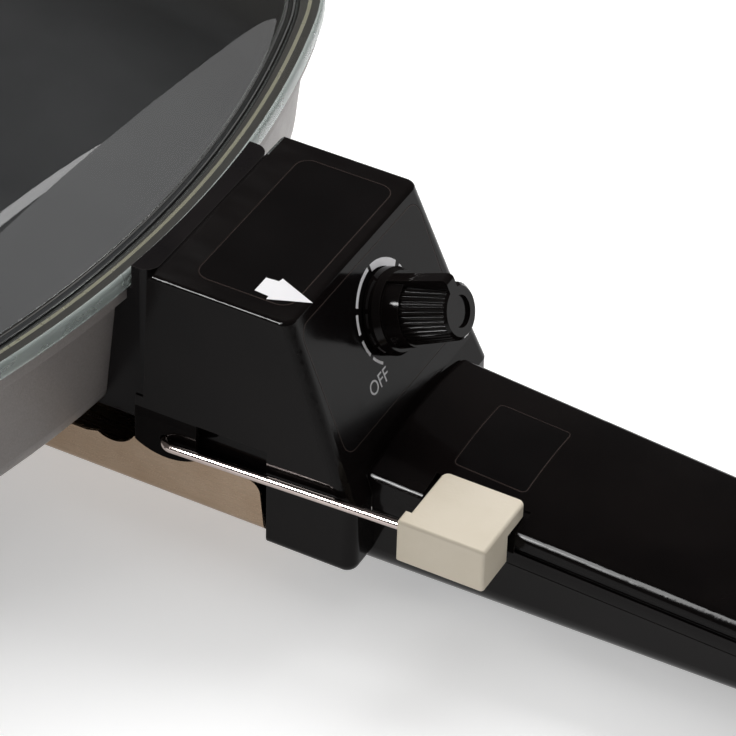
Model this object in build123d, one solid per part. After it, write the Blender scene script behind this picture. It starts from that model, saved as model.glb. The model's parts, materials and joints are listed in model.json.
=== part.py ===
from build123d import *
import math
import os

os.makedirs("parts", exist_ok=True)

# ---------------------------------------------------------------------------
# Driving dimensions, millimetres. Before the last shift the pan's centre is
# x = y = 0, the table is z = 0, and +X runs out along the control handle.
# ---------------------------------------------------------------------------

# Plan shape: a square with bowed sides and round corners, at the lid's edge.
lid_half = 152.5
side_radius = 312.0
corner_radius = 75.0

# Heights of the cooking vessel.
base_z = 32.0
rim_z = 77.0
pan_wall = 3.0
pan_floor = 3.2
rim_thickness = 4.0
rim_inset = 1.2
wall_top_inset = 4.3
wall_draft = 4.3
base_fillet = 10.0
inner_fillet = 8.0

# Fits.
body_gap = 0.3
small_gap = 0.15
running_fit = 0.05
contact_fit = 0.08

# Heating element and its terminals.
element_radius = 3.3
element_flat = 2.6
element_loop_inset = 64.5
element_loop_side_inset = 68.5
element_bend = 30.0
element_exit_bend = 12.0
element_end_inset = 4.5
terminal_inset = 12.0
pin_radius = 2.4
pin_length = 30.0
insulator_radius = 3.5
insulator_length = 5.0

# Temperature probe and the boss that it enters.
probe_radius = 3.2
probe_z = 26.5
probe_tip_inset = 52.5
probe_bore_gap = 0.3
boss_end_inset = 12.5
boss_half_width = 7.5
boss_wall = 3.0

# Legs.
leg_inset = 60.5
leg_boss_radius = 7.5
leg_boss_drop = 8.0
leg_top_radius = 10.5
leg_foot_radius = 8.0
leg_bottom_z = 3.0
leg_screw_radius = 2.0
leg_head_radius = 4.2
leg_head_height = 2.4
leg_seat_z = 12.0
pad_radius = 7.0
pad_stem_height = 4.0

# Sheet-metal cradle that carries the handle.
sheet = 1.0
cradle_tuck = 1.6
cradle_floor_z = 17.0
cradle_start_inset = 52.5
cradle_reach = 40.5
cradle_low_wall_z = 29.5
cradle_wall_z = 33.3
cradle_bend = 3.0
cradle_end_lean = 1.6
cradle_corner = 4.0
scallop_radius = 7.5
scallop_inset = 4.5
cradle_post_inset = 34.5
cradle_post_side_inset = 7.4
cradle_post_radius = 4.5
cradle_screw_radius = 2.0
cradle_head_radius = 3.8
cradle_head_height = 2.3

# Phenolic seat on the pan wall, against which the housing butts.
seat_half_width = 30.0
seat_bottom_z = 35.0
seat_top_z = 84.0
seat_reach = 5.1
seat_corner = 4.0
seat_depth = 22.0
seat_screw_y = 20.0
seat_screw_z = 58.0
wall_boss_radius = 5.0
wall_boss_reach = 5.0
wall_screw_radius = 2.0
wall_screw_head_radius = 3.8
wall_screw_head_height = 2.4
wall_screw_bite = 6.0

# Helper handle on the far side.
helper_half_width = 48.0
helper_reach = 42.0
helper_bottom_z = 56.0
helper_height = 15.0
helper_bar = 15.0
helper_side_bar = 15.0
helper_corner = 14.0
helper_screw_y = 40.0

# Glass lid.
glass = 4.7
lid_flange = 8.0
lid_dome_rise = 22.0
dome_steps = 5
dome_power = 2.2
lid_bead_depth = 2.6
lid_bead_width = 3.0
lid_bead_gap = 1.6
lid_crown_radius = 20.0
lid_hole_radius = 4.0
vent_x = -72.0
vent_hole_radius = 4.0
vent_flange_radius = 6.5
vent_flange = 0.8
vent_bore_radius = 2.2

# Lid knob.
knob_base_radius = 13.0
knob_neck_radius = 9.0
knob_top_radius = 22.0
knob_height = 26.0
knob_insert_radius = 4.5
knob_insert_height = 12.0
lid_screw_radius = 2.5
lid_screw_head_radius = 5.0
lid_screw_head_height = 2.8
lid_washer_radius = 10.0
lid_washer = 1.2
lid_gasket = 1.6

# Control housing, measured from the rim of the lid.
handle_gap = 7.5
housing_top_z = 86.5
housing_top_length = 38.7
housing_half_width = 37.0
housing_lean = 3.0
slope_foot_z = 43.0
slope_run = 17.4
chin_run = 3.6
chin_z = 36.0
block_bottom_z = 15.0
block_start = 34.5
pocket_top_z = 45.8
housing_wall = 2.4
housing_edge = 1.2
housing_foot_edge = 2.6
block_edge = 3.4
foot_round = 5.0
inner_lip = 1.7

# Nose that enters the cradle.
nose_step = 6.0
nose_bottom_z = 20.0
nose_wall = 2.2

# Grip.
grip_end = 215.0
grip_start = 50.0
grip_half_width = 28.0
grip_end_half_width = 25.0
grip_top_z = 44.6
grip_end_top_z = 34.3
grip_bottom_z = 6.0
grip_end_bottom_z = 9.0
grip_crown = 3.0
grip_brow = 1.5
grip_shoulder = 1.8
grip_end_shoulder = 5.0
grip_belt_drop = 10.0
grip_belt_radius = 16.0
grip_tuck = 3.5
grip_keel_radius = 12.0
grip_end_keel_radius = 7.5
grip_wall = 2.4
plateau_at = 57.2
plateau_base_z = 38.0
plateau_edge = 1.3
grip_corner = 15.0
groove_start = 99.5
groove_rise = 4.2
groove_width = 2.0
groove_depth = 0.9
parting_z = 32.2
parting_end_z = 22.2

# Dial, thermostat and control knob. The dial axis stands square to the slope.
dial_y = 4.0
dial_drop = 20.2
shaft_radius = 3.0
shaft_out = 16.0
shaft_in = 11.8
bushing_radius = 4.5
bushing_flange_radius = 7.0
bushing_flange = 5.4
bushing_out = 3.2
dial_nut_across = 13.0
dial_nut_height = 2.6
knob_skirt_radius = 11.4
knob_skirt = 4.2
knob_shoulder_radius = 9.6
knob_grip_radius = 8.6
knob_tip_radius = 7.4
knob_rib_start = 9.5
knob_length = 22.4
knob_face_gap = 0.5
knob_rib_count = 40
knob_flute_radius = 0.55
knob_flute_out = 0.2
knob_hollow_radius = 8.3
knob_hollow = 4.6
knob_fin_half = 1.8
knob_fin_rise = 1.6
knob_fin_round = 1.4
knob_end_round = 0.9
knob_dimple_radius = 4.2
knob_dimple = 0.8
frame_half_width = 12.0
frame_up = 13.0
frame_down = 22.0
frame_plate = 1.2
frame_flange = 9.0
frame_flange_short = 8.0
wafer_half_width = 6.0
wafer_length = 8.0
wafer = 3.0
blade = 0.4
blade_half_width = 3.0
contact_radius = 1.8
contact_height = 1.3
contact_up = 8.0

# Plates set flush into the moulding.
plate_depth = 0.5
top_plate_inset_x = 8.0
top_plate_length = 27.5
top_plate_side = 6.0
plate_corner = 4.0
dial_plate_side = 6.5
dial_plate_up = 17.0
dial_plate_down = 21.5
grip_plate_start = 75.0
grip_plate_length = 20.5
grip_plate_half_width = 13.3
grip_plate_corner = 1.5

# Wire lever, cams and tab.
pivot_x = 5.0
pivot_z = 37.6
wire_radius = 1.3
wire_gap = 0.8
wire_bend = 3.0
wire_end = 96.0
wire_rise = 4.2
lever_boss_half_length = 9.0
lever_boss_low_z = 31.8
lever_boss_radius = 17.0
lever_boss_depth = 1.2
bush_wall = 1.3
bush_flange_width = 1.4
bush_flange = 0.7
cam_block_gap = 2.1
cam_half = 1.5
cam_hub_wall = 2.8
cam_tip_half = 3.2
cam_floor_gap = 0.4
cam_slot_gap = 0.8
clip_width = 1.9
clip = 0.8
shaft_end_gap = 1.0
tab_start = 74.0
tab_end = 98.5
tab_skin = 1.4
tab_width = 22.8
tab_block_gap = 0.9
tab_top_z = 44.4
tab_bottom_z = 31.7
tab_plate = 4.2
tab_ledge = 1.6
tab_corner = 2.0
tab_round = 0.9
recess_gap = 1.0

# Sockets inside the nose.
socket_radius = 3.8
socket_length = 21.0
socket_block_half = 5.4
probe_collar_radius = 4.2
probe_collar = 3.0
probe_tail = 8.0
capillary_back = 8.0
capillary_drop = 3.0
capillary_bend = 5.0
capillary_radius = 1.0

# Screws that close the handle.
closing_screw_radius = 1.5
closing_head_radius = 3.0
closing_head_height = 2.0
closing_post_radius = 4.2
closing_block_x = 46.0
closing_block_inset = 9.5
closing_grip_x = (120.0, 186.0)
closing_clear = 0.2
closing_bite = 12.0

# Cord entry and wiring.
cord_z = 21.0
cap_seam = 207.0
cap_plug = 7.0
cap_pocket_half = 8.0
cap_pocket_drop = 5.0
gland_radius = 5.5
gland_flange_radius = 7.6
gland_flange = 2.0
cord_bore_radius = 3.6
terminal_block_length = 14.0
terminal_block_half_width = 11.0
terminal_block_height = 9.0
terminal_block_x = 160.0
clamp_screw_radius = 2.0
clamp_screw_y = 5.5
clamp_screw_height = 1.2
lead_radius = 1.3
lead_bend = 8.0
lead_turn_x = 90.0
lead_level_run = 16.0

# ---------------------------------------------------------------------------
# Values worked out from the ones above
# ---------------------------------------------------------------------------
x_in = lid_half + handle_gap
element_loop_half = lid_half - element_loop_inset
element_loop_width = lid_half - element_loop_side_inset
element_end_x = lid_half - element_end_inset
pin_tip_x = element_end_x + pin_length
probe_tip_x = lid_half - probe_tip_inset
boss_end_x = lid_half - boss_end_inset
leg_offset = lid_half - leg_inset
housing_half_top = housing_half_width - housing_lean
nose_half_width = housing_half_width - nose_step
terminal_y = nose_half_width - terminal_inset
cradle_half_width = housing_half_width - cradle_tuck
cradle_start_x = lid_half - cradle_start_inset
cradle_end_x = lid_half + cradle_reach
scallop_x = lid_half - scallop_inset
cradle_post_x = lid_half - cradle_post_inset
cradle_post_y = cradle_half_width - cradle_post_side_inset
seat_face_x = lid_half + seat_reach
top_plate_half_width = housing_half_top - top_plate_side
dial_plate_half_width = housing_half_width - dial_plate_side
wire_y = -(housing_half_width + wire_gap + wire_radius)
lever_boss_face_y = -housing_half_width
bush_radius = wire_radius + bush_wall
bush_flange_radius = bush_radius + bush_flange_width
cam_hub_radius = wire_radius + cam_hub_wall
clip_radius = wire_radius + clip_width
tab_front_y = wire_y - wire_radius - tab_skin
tab_back_y = tab_front_y + tab_width
tab_block_back_y = -(grip_half_width + tab_block_gap)
closing_block_y = housing_half_width - closing_block_inset
cam_y = terminal_y - socket_block_half - cam_block_gap - cam_half
x_top = x_in + housing_top_length
x_foot = x_top + slope_run
x_chin = x_foot + chin_run
x_block = x_in + block_start
x_grip_end = x_in + grip_end
x_cap = x_in + cap_seam
cap_wall = 2 * grip_wall + small_gap
glass_z = rim_z + body_gap
lid_top_z = glass_z + glass + lid_dome_rise
element_z = base_z - element_flat
wall_bottom_inset = wall_top_inset + wall_draft
seat_wall_x = seat_face_x - seat_depth
slope_length = math.hypot(slope_run, housing_top_z - slope_foot_z)
slope_normal = Vector((housing_top_z - slope_foot_z) / slope_length, 0, slope_run / slope_length)
slope_down = Vector(slope_run / slope_length, 0, -(housing_top_z - slope_foot_z) / slope_length)
dial_centre = Vector(x_top, dial_y, housing_top_z) + slope_down * dial_drop
dial_plane = Plane(origin=dial_centre, x_dir=(0, 1, 0), z_dir=slope_normal)
pivot = Vector(x_in + pivot_x, 0, pivot_z)
grip_span = grip_end - grip_start
parting_slope = (parting_end_z - parting_z) / grip_span
x_mid = (x_grip_end + gland_flange - lid_half - helper_reach) / 2
far = 400.0


# ---------------------------------------------------------------------------
# Shared shapes
# ---------------------------------------------------------------------------
def bowed_square(half, side, corner):
    """Face in the XY plane: four bowed sides joined by four corner arcs."""
    offset_in = side - half
    reach = side - corner
    corner_at = (math.sqrt(2 * reach**2 - offset_in**2) - offset_in) / 2
    turn = math.atan2(corner_at, corner_at + offset_in)
    join = (side * math.cos(turn) - offset_in, side * math.sin(turn))
    tip = corner_at + corner * math.sqrt(0.5)
    edges = []
    for quarter in range(4):
        spin = Rot(0, 0, 90 * quarter)
        edges.append(spin * ThreePointArc((join[0], -join[1]), (half, 0), join))
        edges.append(spin * ThreePointArc(join, (tip, tip), (join[1], join[0])))
    return make_face(edges)


def plan(inset):
    """The lid's outline moved inward by inset."""
    return bowed_square(lid_half - inset, side_radius - inset, corner_radius - inset)


def slab(face, low, high):
    """A face of the XY plane raised between two heights."""
    return extrude(Pos(0, 0, low) * face, high - low)


def tapered(low_inset, low, high_inset, high):
    """Tapered body between two insets of the plan shape."""
    return loft([Pos(0, 0, low) * plan(low_inset), Pos(0, 0, high) * plan(high_inset)], ruled=True)


def box_between(low, high):
    """Box from its lowest to its highest corner."""
    size = [b - a for a, b in zip(low, high)]
    return Pos(*low) * Box(*size, align=(Align.MIN, Align.MIN, Align.MIN))


def rod(start, axis, radius, length):
    """Round bar from a start point along an axis."""
    return extrude(Plane(origin=start, z_dir=axis) * Circle(radius), length)


def prism_y(points, half):
    """XZ polygon extruded to both sides of the XZ plane."""
    face = Plane.XZ * make_face(Polyline(*points, close=True))
    return extrude(face, half, both=True)


def wire_tube(points, radius, bend):
    """Round wire through points, with bends of one radius."""
    path = FilletPolyline(*points, radius=bend)
    start = Vector(*points[0])
    heading = Vector(*points[1]) - start
    return sweep(Plane(origin=start, z_dir=heading) * Circle(radius), path=path)


def wall_inset(z):
    """Inset of the pan's outer wall at a height above the base fillet."""
    return wall_bottom_inset - wall_draft * (z - base_z) / (rim_z - rim_thickness - base_z)


# ---------------------------------------------------------------------------
# Cooking vessel
# ---------------------------------------------------------------------------
def pan_outside(grow):
    """Outer body of the pan's wall and base, grown by a clearance."""
    body = tapered(wall_bottom_inset - grow, base_z - grow, wall_top_inset - grow, rim_z - rim_thickness)
    return fillet(body.faces().sort_by(Axis.Z)[0].edges(), base_fillet)


def pan_inside():
    """Cooking space of the pan."""
    top_inset = wall_inset(rim_z) + pan_wall
    body = tapered(wall_bottom_inset + pan_wall, base_z + pan_floor, top_inset, rim_z)
    body = fillet(body.faces().sort_by(Axis.Z)[0].edges(), inner_fillet)
    return body + slab(plan(top_inset), rim_z, rim_z + 1)


def wall_boss(y, z, side):
    """Cast boss on the pan wall that takes a screw along X."""
    length = wall_boss_reach + base_fillet
    start = side * (lid_half - wall_inset(z) - base_fillet)
    return rod((start, y, z), (side, 0, 0), wall_boss_radius, length)


def wall_boss_face(z):
    """Distance of a wall boss's end face from the pan's centre."""
    return lid_half - wall_inset(z) + wall_boss_reach


def wall_screw_hole(y, z, side):
    """Tapped blind hole of a wall boss."""
    start = wall_boss_face(z) - wall_screw_bite
    return rod((side * start, y, z), (side, 0, 0), wall_screw_radius, wall_screw_bite + 1)


def make_pan():
    pan = pan_outside(0) + slab(plan(rim_inset), rim_z - rim_thickness, rim_z)
    boss_radius = probe_radius + probe_bore_gap + boss_wall
    pan += box_between((probe_tip_x - boss_wall, -boss_half_width, probe_z),
                       (boss_end_x, boss_half_width, base_z + 1))
    pan += rod((probe_tip_x - boss_wall, 0, probe_z), (1, 0, 0), boss_radius,
               boss_end_x - probe_tip_x + boss_wall)
    for sx in (-1, 1):
        for sy in (-1, 1):
            pan += rod((sx * leg_offset, sy * leg_offset, base_z - leg_boss_drop), (0, 0, 1),
                       leg_boss_radius, leg_boss_drop + 1)
    for sy in (-1, 1):
        pan += rod((cradle_post_x, sy * cradle_post_y, cradle_floor_z + sheet), (0, 0, 1),
                   cradle_post_radius, base_z - cradle_floor_z - sheet + 1)
        pan += wall_boss(sy * seat_screw_y, seat_screw_z, 1)
        pan += wall_boss(sy * helper_screw_y, helper_bottom_z + helper_height / 2, -1)
    pan -= pan_inside()
    pan -= rod((probe_tip_x - 1, 0, probe_z), (1, 0, 0), probe_radius + probe_bore_gap,
               boss_end_x - probe_tip_x + 2)
    for sx in (-1, 1):
        for sy in (-1, 1):
            pan -= rod((sx * leg_offset, sy * leg_offset, base_z - leg_boss_drop - 1), (0, 0, 1),
                       leg_screw_radius, leg_boss_drop + 1.5)
    for sy in (-1, 1):
        pan -= rod((cradle_post_x, sy * cradle_post_y, cradle_floor_z), (0, 0, 1),
                   cradle_screw_radius, base_z - cradle_floor_z)
        pan -= wall_screw_hole(sy * seat_screw_y, seat_screw_z, 1)
        pan -= wall_screw_hole(sy * helper_screw_y, helper_bottom_z + helper_height / 2, -1)
    return pan


def make_element():
    near = element_loop_half
    side = element_loop_width
    points = [
        (element_end_x, -terminal_y, element_z),
        (near, -terminal_y, element_z),
        (near, -side, element_z),
        (-near, -side, element_z),
        (-near, side, element_z),
        (near, side, element_z),
        (near, terminal_y, element_z),
        (element_end_x, terminal_y, element_z),
    ]
    radii = [element_exit_bend] + [element_bend] * 4 + [element_exit_bend]
    path = FilletPolyline(*points, radius=radii)
    section = Circle(element_radius) - Pos(0, element_flat + element_radius) * Rectangle(
        2 * element_radius, 2 * element_radius)
    plane = Plane(origin=points[0], x_dir=(0, -1, 0), z_dir=(-1, 0, 0))
    return sweep(plane * section, path=path)


def make_terminal_pins():
    length = pin_tip_x - element_end_x
    pins = []
    for sy in (-1, 1):
        pin = rod((element_end_x, sy * terminal_y, element_z), (1, 0, 0), pin_radius, length)
        pins.append(chamfer(pin.faces().sort_by(Axis.X)[-1].edges(), pin_radius / 3))
    return pins


def make_terminal_insulators():
    rings = []
    for sy in (-1, 1):
        start = (element_end_x, sy * terminal_y, element_z)
        ring = rod(start, (1, 0, 0), insulator_radius, insulator_length)
        rings.append(ring - rod(start, (1, 0, 0), pin_radius, insulator_length))
    return rings


def make_leg(sx, sy):
    top = base_z - leg_boss_drop
    profile = Polyline((0, leg_bottom_z), (leg_foot_radius, leg_bottom_z), (leg_top_radius, top), (0, top),
                       close=True)
    leg = revolve(Plane.XZ * make_face(profile), Axis.Z)
    leg = fillet(leg.faces().sort_by(Axis.Z)[0].outer_wire().edges(), leg_bottom_z / 2)
    leg -= rod((0, 0, leg_bottom_z - 1), (0, 0, 1), leg_screw_radius + small_gap, top)
    leg -= rod((0, 0, leg_bottom_z - 1), (0, 0, 1), leg_head_radius + small_gap, leg_seat_z - leg_bottom_z + 1)
    return Pos(sx * leg_offset, sy * leg_offset, 0) * leg


def each_leg(piece):
    """The same small piece at all four legs."""
    return [Pos(sx * leg_offset, sy * leg_offset, 0) * piece for sx in (-1, 1) for sy in (-1, 1)]


def make_leg_screws():
    shank_top = base_z - 1.2
    screw = rod((0, 0, leg_seat_z - leg_head_height), (0, 0, 1), leg_head_radius, leg_head_height)
    screw += rod((0, 0, leg_seat_z - 1), (0, 0, 1), leg_screw_radius, shank_top - leg_seat_z + 1)
    screw -= box_between((-0.5, -far, 0), (0.5, far, leg_seat_z - leg_head_height + 0.8))
    return each_leg(screw)


def make_foot_pads():
    pad = rod((0, 0, 0), (0, 0, 1), pad_radius, leg_bottom_z)
    pad = fillet(pad.faces().sort_by(Axis.Z)[0].edges(), leg_bottom_z / 3)
    pad += rod((0, 0, leg_bottom_z - 1), (0, 0, 1), leg_head_radius, pad_stem_height + 1)
    return each_leg(pad)


# ---------------------------------------------------------------------------
# Cradle and seat, fixed to the vessel
# ---------------------------------------------------------------------------
def make_cradle():
    inside = cradle_half_width - sheet
    outer = Rectangle(2 * cradle_half_width, far, align=(Align.CENTER, Align.MIN))
    inner = Pos(0, sheet) * Rectangle(2 * inside, far, align=(Align.CENTER, Align.MIN))
    outer = fillet(outer.vertices().group_by(Axis.Y)[0], cradle_bend)
    inner = fillet(inner.vertices().group_by(Axis.Y)[0], cradle_bend - sheet)
    section = Plane(origin=(cradle_start_x, 0, cradle_floor_z), x_dir=(0, 1, 0), z_dir=(1, 0, 0)) * (outer - inner)
    channel = extrude(section, cradle_end_x - cradle_start_x)
    step_x = scallop_x - scallop_radius
    lip_x = scallop_x + scallop_radius * 0.8
    points = [
        (cradle_start_x - 1, cradle_floor_z - 1),
        (cradle_start_x - 1, cradle_low_wall_z),
        (step_x, cradle_low_wall_z),
        (lip_x, cradle_wall_z),
        (cradle_end_x - cradle_end_lean, cradle_wall_z),
        (cradle_end_x, cradle_floor_z + sheet),
        (cradle_end_x, cradle_floor_z - 1),
    ]
    side = prism_y(points, cradle_half_width + 1)
    top_corner = side.edges().filter_by(Axis.Y).group_by(Axis.Z)[-1].sort_by(Axis.X)[-1]
    side = fillet(top_corner, cradle_corner)
    cradle = channel & side
    scallop_z = cradle_wall_z + scallop_radius * 0.45
    cradle -= Pos(scallop_x, 0, scallop_z) * Rot(90, 0, 0) * Cylinder(scallop_radius, far)
    for sy in (-1, 1):
        cradle -= rod((cradle_post_x, sy * cradle_post_y, cradle_floor_z - 1), (0, 0, 1),
                      cradle_screw_radius + small_gap, sheet + 2)
    return cradle


def make_cradle_screws():
    screws = []
    for sy in (-1, 1):
        at = (cradle_post_x, sy * cradle_post_y, cradle_floor_z - cradle_head_height)
        screw = rod(at, (0, 0, 1), cradle_head_radius, cradle_head_height)
        screw = fillet(screw.faces().sort_by(Axis.Z)[0].edges(), cradle_head_height / 3)
        screw += rod((cradle_post_x, sy * cradle_post_y, cradle_floor_z - 1), (0, 0, 1),
                     cradle_screw_radius, base_z - cradle_floor_z - 1)
        screws.append(screw)
    return screws


def make_handle_seat():
    seat = box_between((seat_wall_x, -seat_half_width, seat_bottom_z), (seat_face_x, seat_half_width, seat_top_z))
    seat = fillet(seat.edges().filter_by(Axis.Z).group_by(Axis.X)[-1], seat_corner)
    seat -= pan_outside(small_gap)
    seat -= slab(plan(rim_inset - small_gap), rim_z - rim_thickness - small_gap, far)
    seat -= slab(plan(-body_gap), rim_z, far)
    for sy in (-1, 1):
        seat -= wall_boss_clearance(sy * seat_screw_y, seat_screw_z, 1)
        seat -= wall_screw_clearance(sy * seat_screw_y, seat_screw_z, 1, seat_face_x)
    return seat


def wall_boss_clearance(y, z, side):
    """Hole in a fitting that slips over a wall boss."""
    return rod((side * seat_wall_x, y, z), (side, 0, 0), wall_boss_radius + small_gap,
               wall_boss_face(z) - seat_wall_x)


def wall_screw_clearance(y, z, side, face):
    """Through hole and head recess for a wall screw in a fitting."""
    hole = rod((side * wall_boss_face(z), y, z), (side, 0, 0), wall_screw_radius + small_gap, far)
    head_from = wall_screw_head_at(face)
    return hole + rod((side * head_from, y, z), (side, 0, 0), wall_screw_head_radius + small_gap, far)


def wall_screw_head_at(face):
    """Where the head of a wall screw rests, inside the fitting's outer face."""
    return face - wall_screw_head_height - 0.6


def wall_screws(y, z, side, face):
    """Pair of screws through a fitting into the wall bosses."""
    screws = []
    start = wall_boss_face(z) - wall_screw_bite
    head_from = wall_screw_head_at(face)
    for sy in (-1, 1):
        screw = rod((side * start, sy * y, z), (side, 0, 0), wall_screw_radius, head_from - start)
        screw += rod((side * head_from, sy * y, z), (side, 0, 0), wall_screw_head_radius, wall_screw_head_height)
        slot_from = head_from + wall_screw_head_height * 0.6
        slot = box_between((slot_from, sy * y - 0.5, z - far), (slot_from + far, sy * y + 0.5, z + far))
        screws.append(screw - (slot if side > 0 else mirror(slot, Plane.YZ)))
    return screws


def helper_face():
    """Distance of the helper handle's screw face from the pan's centre."""
    return lid_half + helper_bar


def make_helper_handle():
    reach = lid_half + helper_reach
    start = lid_half - wall_bottom_inset - base_fillet
    points = [(-start, -helper_half_width), (-start, helper_half_width),
              (-reach, helper_half_width * 0.8), (-reach, -helper_half_width * 0.8)]
    outline = make_face(Polyline(*points, close=True))
    outline = fillet(outline.vertices().group_by(Axis.X)[0], helper_corner)
    gap_points = [(-lid_half - 2, -helper_half_width + helper_side_bar * 1.4),
                  (-lid_half - 2, helper_half_width - helper_side_bar * 1.4),
                  (-reach + helper_bar, helper_half_width * 0.8 - helper_side_bar),
                  (-reach + helper_bar, -helper_half_width * 0.8 + helper_side_bar)]
    finger_gap = make_face(Polyline(*gap_points, close=True))
    finger_gap = fillet(finger_gap.vertices(), 4)
    top = helper_bottom_z + helper_height
    handle = slab(outline, helper_bottom_z, top)
    handle = fillet(handle.faces().sort_by(Axis.X)[0].edges().filter_by(Axis.Y), helper_height * 0.3)
    handle -= slab(finger_gap, helper_bottom_z - 1, top + 1)
    handle -= pan_outside(small_gap)
    handle -= slab(plan(rim_inset - small_gap), rim_z - rim_thickness - small_gap, far)
    mid = helper_bottom_z + helper_height / 2
    for sy in (-1, 1):
        handle -= wall_boss_clearance(sy * helper_screw_y, mid, -1)
        handle -= wall_screw_clearance(sy * helper_screw_y, mid, -1, helper_face())
    return handle


# ---------------------------------------------------------------------------
# Lid
# ---------------------------------------------------------------------------
def lid_dome(depth):
    """Dome of the lid, or with a depth the air space that far below its outer skin."""
    sections = []
    for step in range(dome_steps + 1):
        share = step / dome_steps
        rise = lid_dome_rise * (1 - (1 - share) ** dome_power)
        inset = lid_flange + depth + (lid_half - lid_flange - depth - lid_crown_radius) * share
        squareness = (1 - share) ** 1.5
        half = lid_half - inset
        side = half + 1 + (side_radius - lid_half) * squareness
        corner = half - 1 - (lid_half - corner_radius) * squareness * half / lid_half
        sections.append(Pos(0, 0, glass_z + glass - depth + rise) * bowed_square(half, side, corner))
    return loft(sections)


def make_lid_glass():
    flange = slab(plan(0), glass_z, glass_z + glass)
    flange = fillet(flange.faces().sort_by(Axis.Z)[-1].edges(), glass * 0.35)
    bead_inset = wall_inset(rim_z) + pan_wall + lid_bead_gap
    bead_inner = bead_inset + lid_bead_width
    bead = slab(plan(bead_inset), glass_z - lid_bead_depth, glass_z)
    lid = flange + bead + lid_dome(0)
    lid -= slab(plan(bead_inner), glass_z - lid_bead_depth - 1, glass_z + glass * 0.1)
    lid -= lid_dome(glass)
    lid -= rod((0, 0, glass_z), (0, 0, 1), lid_hole_radius, far)
    return lid - rod((vent_x, 0, glass_z), (0, 0, 1), vent_hole_radius, far)


def make_lid_knob():
    low = lid_top_z
    points = [
        (0, low), (knob_base_radius, low), (knob_base_radius, low + 3), (knob_neck_radius, low + 7),
        (knob_neck_radius, low + knob_height * 0.5), (knob_top_radius - 2, low + knob_height * 0.72),
        (knob_top_radius, low + knob_height * 0.8), (knob_top_radius - 3, low + knob_height),
        (0, low + knob_height),
    ]
    knob = revolve(Plane.XZ * make_face(Polyline(*points, close=True)), Axis.Z)
    knob = fillet(knob.faces().sort_by(Axis.Z)[-1].edges(), 2)
    return knob - rod((0, 0, low - 1), (0, 0, 1), knob_insert_radius, knob_insert_height + 1)


def make_lid_knob_insert():
    low = lid_top_z
    insert = rod((0, 0, low), (0, 0, 1), knob_insert_radius, knob_insert_height)
    return insert - rod((0, 0, low - 1), (0, 0, 1), lid_screw_radius, knob_insert_height)


def lid_under_z():
    """Height of the glass's underside at the crown."""
    return lid_top_z - glass


def ring(radius, bore, low, thickness):
    """Flat ring about the lid's centre."""
    return rod((0, 0, low), (0, 0, 1), radius, thickness) - rod((0, 0, low - 1), (0, 0, 1), bore, thickness + 2)


def make_lid_gasket():
    bore = lid_screw_radius + small_gap
    gasket = ring(lid_washer_radius, bore, lid_under_z() - lid_gasket, lid_gasket)
    return gasket + ring(lid_hole_radius - small_gap, bore, lid_under_z() - lid_gasket, glass + lid_gasket)


def make_lid_washer():
    return ring(lid_washer_radius, lid_screw_radius + small_gap, lid_under_z() - lid_gasket - lid_washer, lid_washer)


def make_lid_screw():
    under = lid_under_z() - lid_gasket - lid_washer
    screw = rod((0, 0, under - lid_screw_head_height), (0, 0, 1), lid_screw_head_radius, lid_screw_head_height)
    screw = fillet(screw.faces().sort_by(Axis.Z)[0].edges(), lid_screw_head_height / 3)
    top = lid_top_z + knob_insert_height - 2
    screw += rod((0, 0, under - 1), (0, 0, 1), lid_screw_radius, top - under + 1)
    return screw - box_between((-far, -0.6, 0), (far, 0.6, under - lid_screw_head_height + 1))


def make_steam_vent():
    low = min(edge.bounding_box().min.Z for edge in vent_rim_edges())
    high = max(edge.bounding_box().max.Z for edge in vent_rim_edges())
    at = Pos(vent_x, 0, 0)
    sleeve = rod((0, 0, low - vent_flange), (0, 0, 1), vent_hole_radius - small_gap, high - low + 2 * vent_flange)
    cap = rod((0, 0, high), (0, 0, 1), vent_flange_radius, vent_flange)
    cap = fillet(cap.faces().sort_by(Axis.Z)[-1].edges(), vent_flange / 2)
    foot = rod((0, 0, low - vent_flange), (0, 0, 1), vent_flange_radius, vent_flange)
    vent = sleeve + cap + foot
    return at * (vent - rod((0, 0, low - far), (0, 0, 1), vent_bore_radius, 2 * far))


def vent_rim_edges():
    """Edges of the vent's hole in the glass."""
    near = box_between((vent_x - vent_flange_radius, -vent_flange_radius, glass_z),
                       (vent_x + vent_flange_radius, vent_flange_radius, far))
    return (lid_glass & near).edges()


# ---------------------------------------------------------------------------
# Handle mouldings
# ---------------------------------------------------------------------------
def housing_profile(inset):
    """Long section of the housing, with its edges moved inward by inset."""
    side = make_face(Polyline(
        (x_in - inner_lip, pocket_top_z), (x_in - inner_lip, housing_top_z - inner_lip), (x_in, housing_top_z),
        (x_top, housing_top_z), (x_foot, slope_foot_z), (x_chin, chin_z), (x_chin, block_bottom_z),
        (x_block, block_bottom_z), (x_block, pocket_top_z), close=True))
    if inset:
        side = offset(side, -inset, kind=Kind.INTERSECTION)
    else:
        foot = side.vertices().filter_by(lambda v: abs(v.X - x_foot) < 0.01)
        side = fillet(foot, foot_round)
    return extrude(Plane.XZ * side, far, both=True)


def housing_level(x_out, half, z):
    """Level section of the housing, rounded at its two outer corners."""
    length = x_out - x_in + inner_lip
    shape = Rectangle(length, 2 * half, align=(Align.MIN, Align.CENTER))
    shape = fillet(shape.vertices().group_by(Axis.X)[-1], block_edge)
    return Pos(x_in - inner_lip, 0, z) * shape


def round_level_edges(body, level, radius):
    """Round a level face's edges, except the one at the lid."""
    edges = body.faces().sort_by(Axis.Z)[level].edges()
    return fillet(edges.filter_by(lambda e: e.center().X > x_in), radius)


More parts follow.
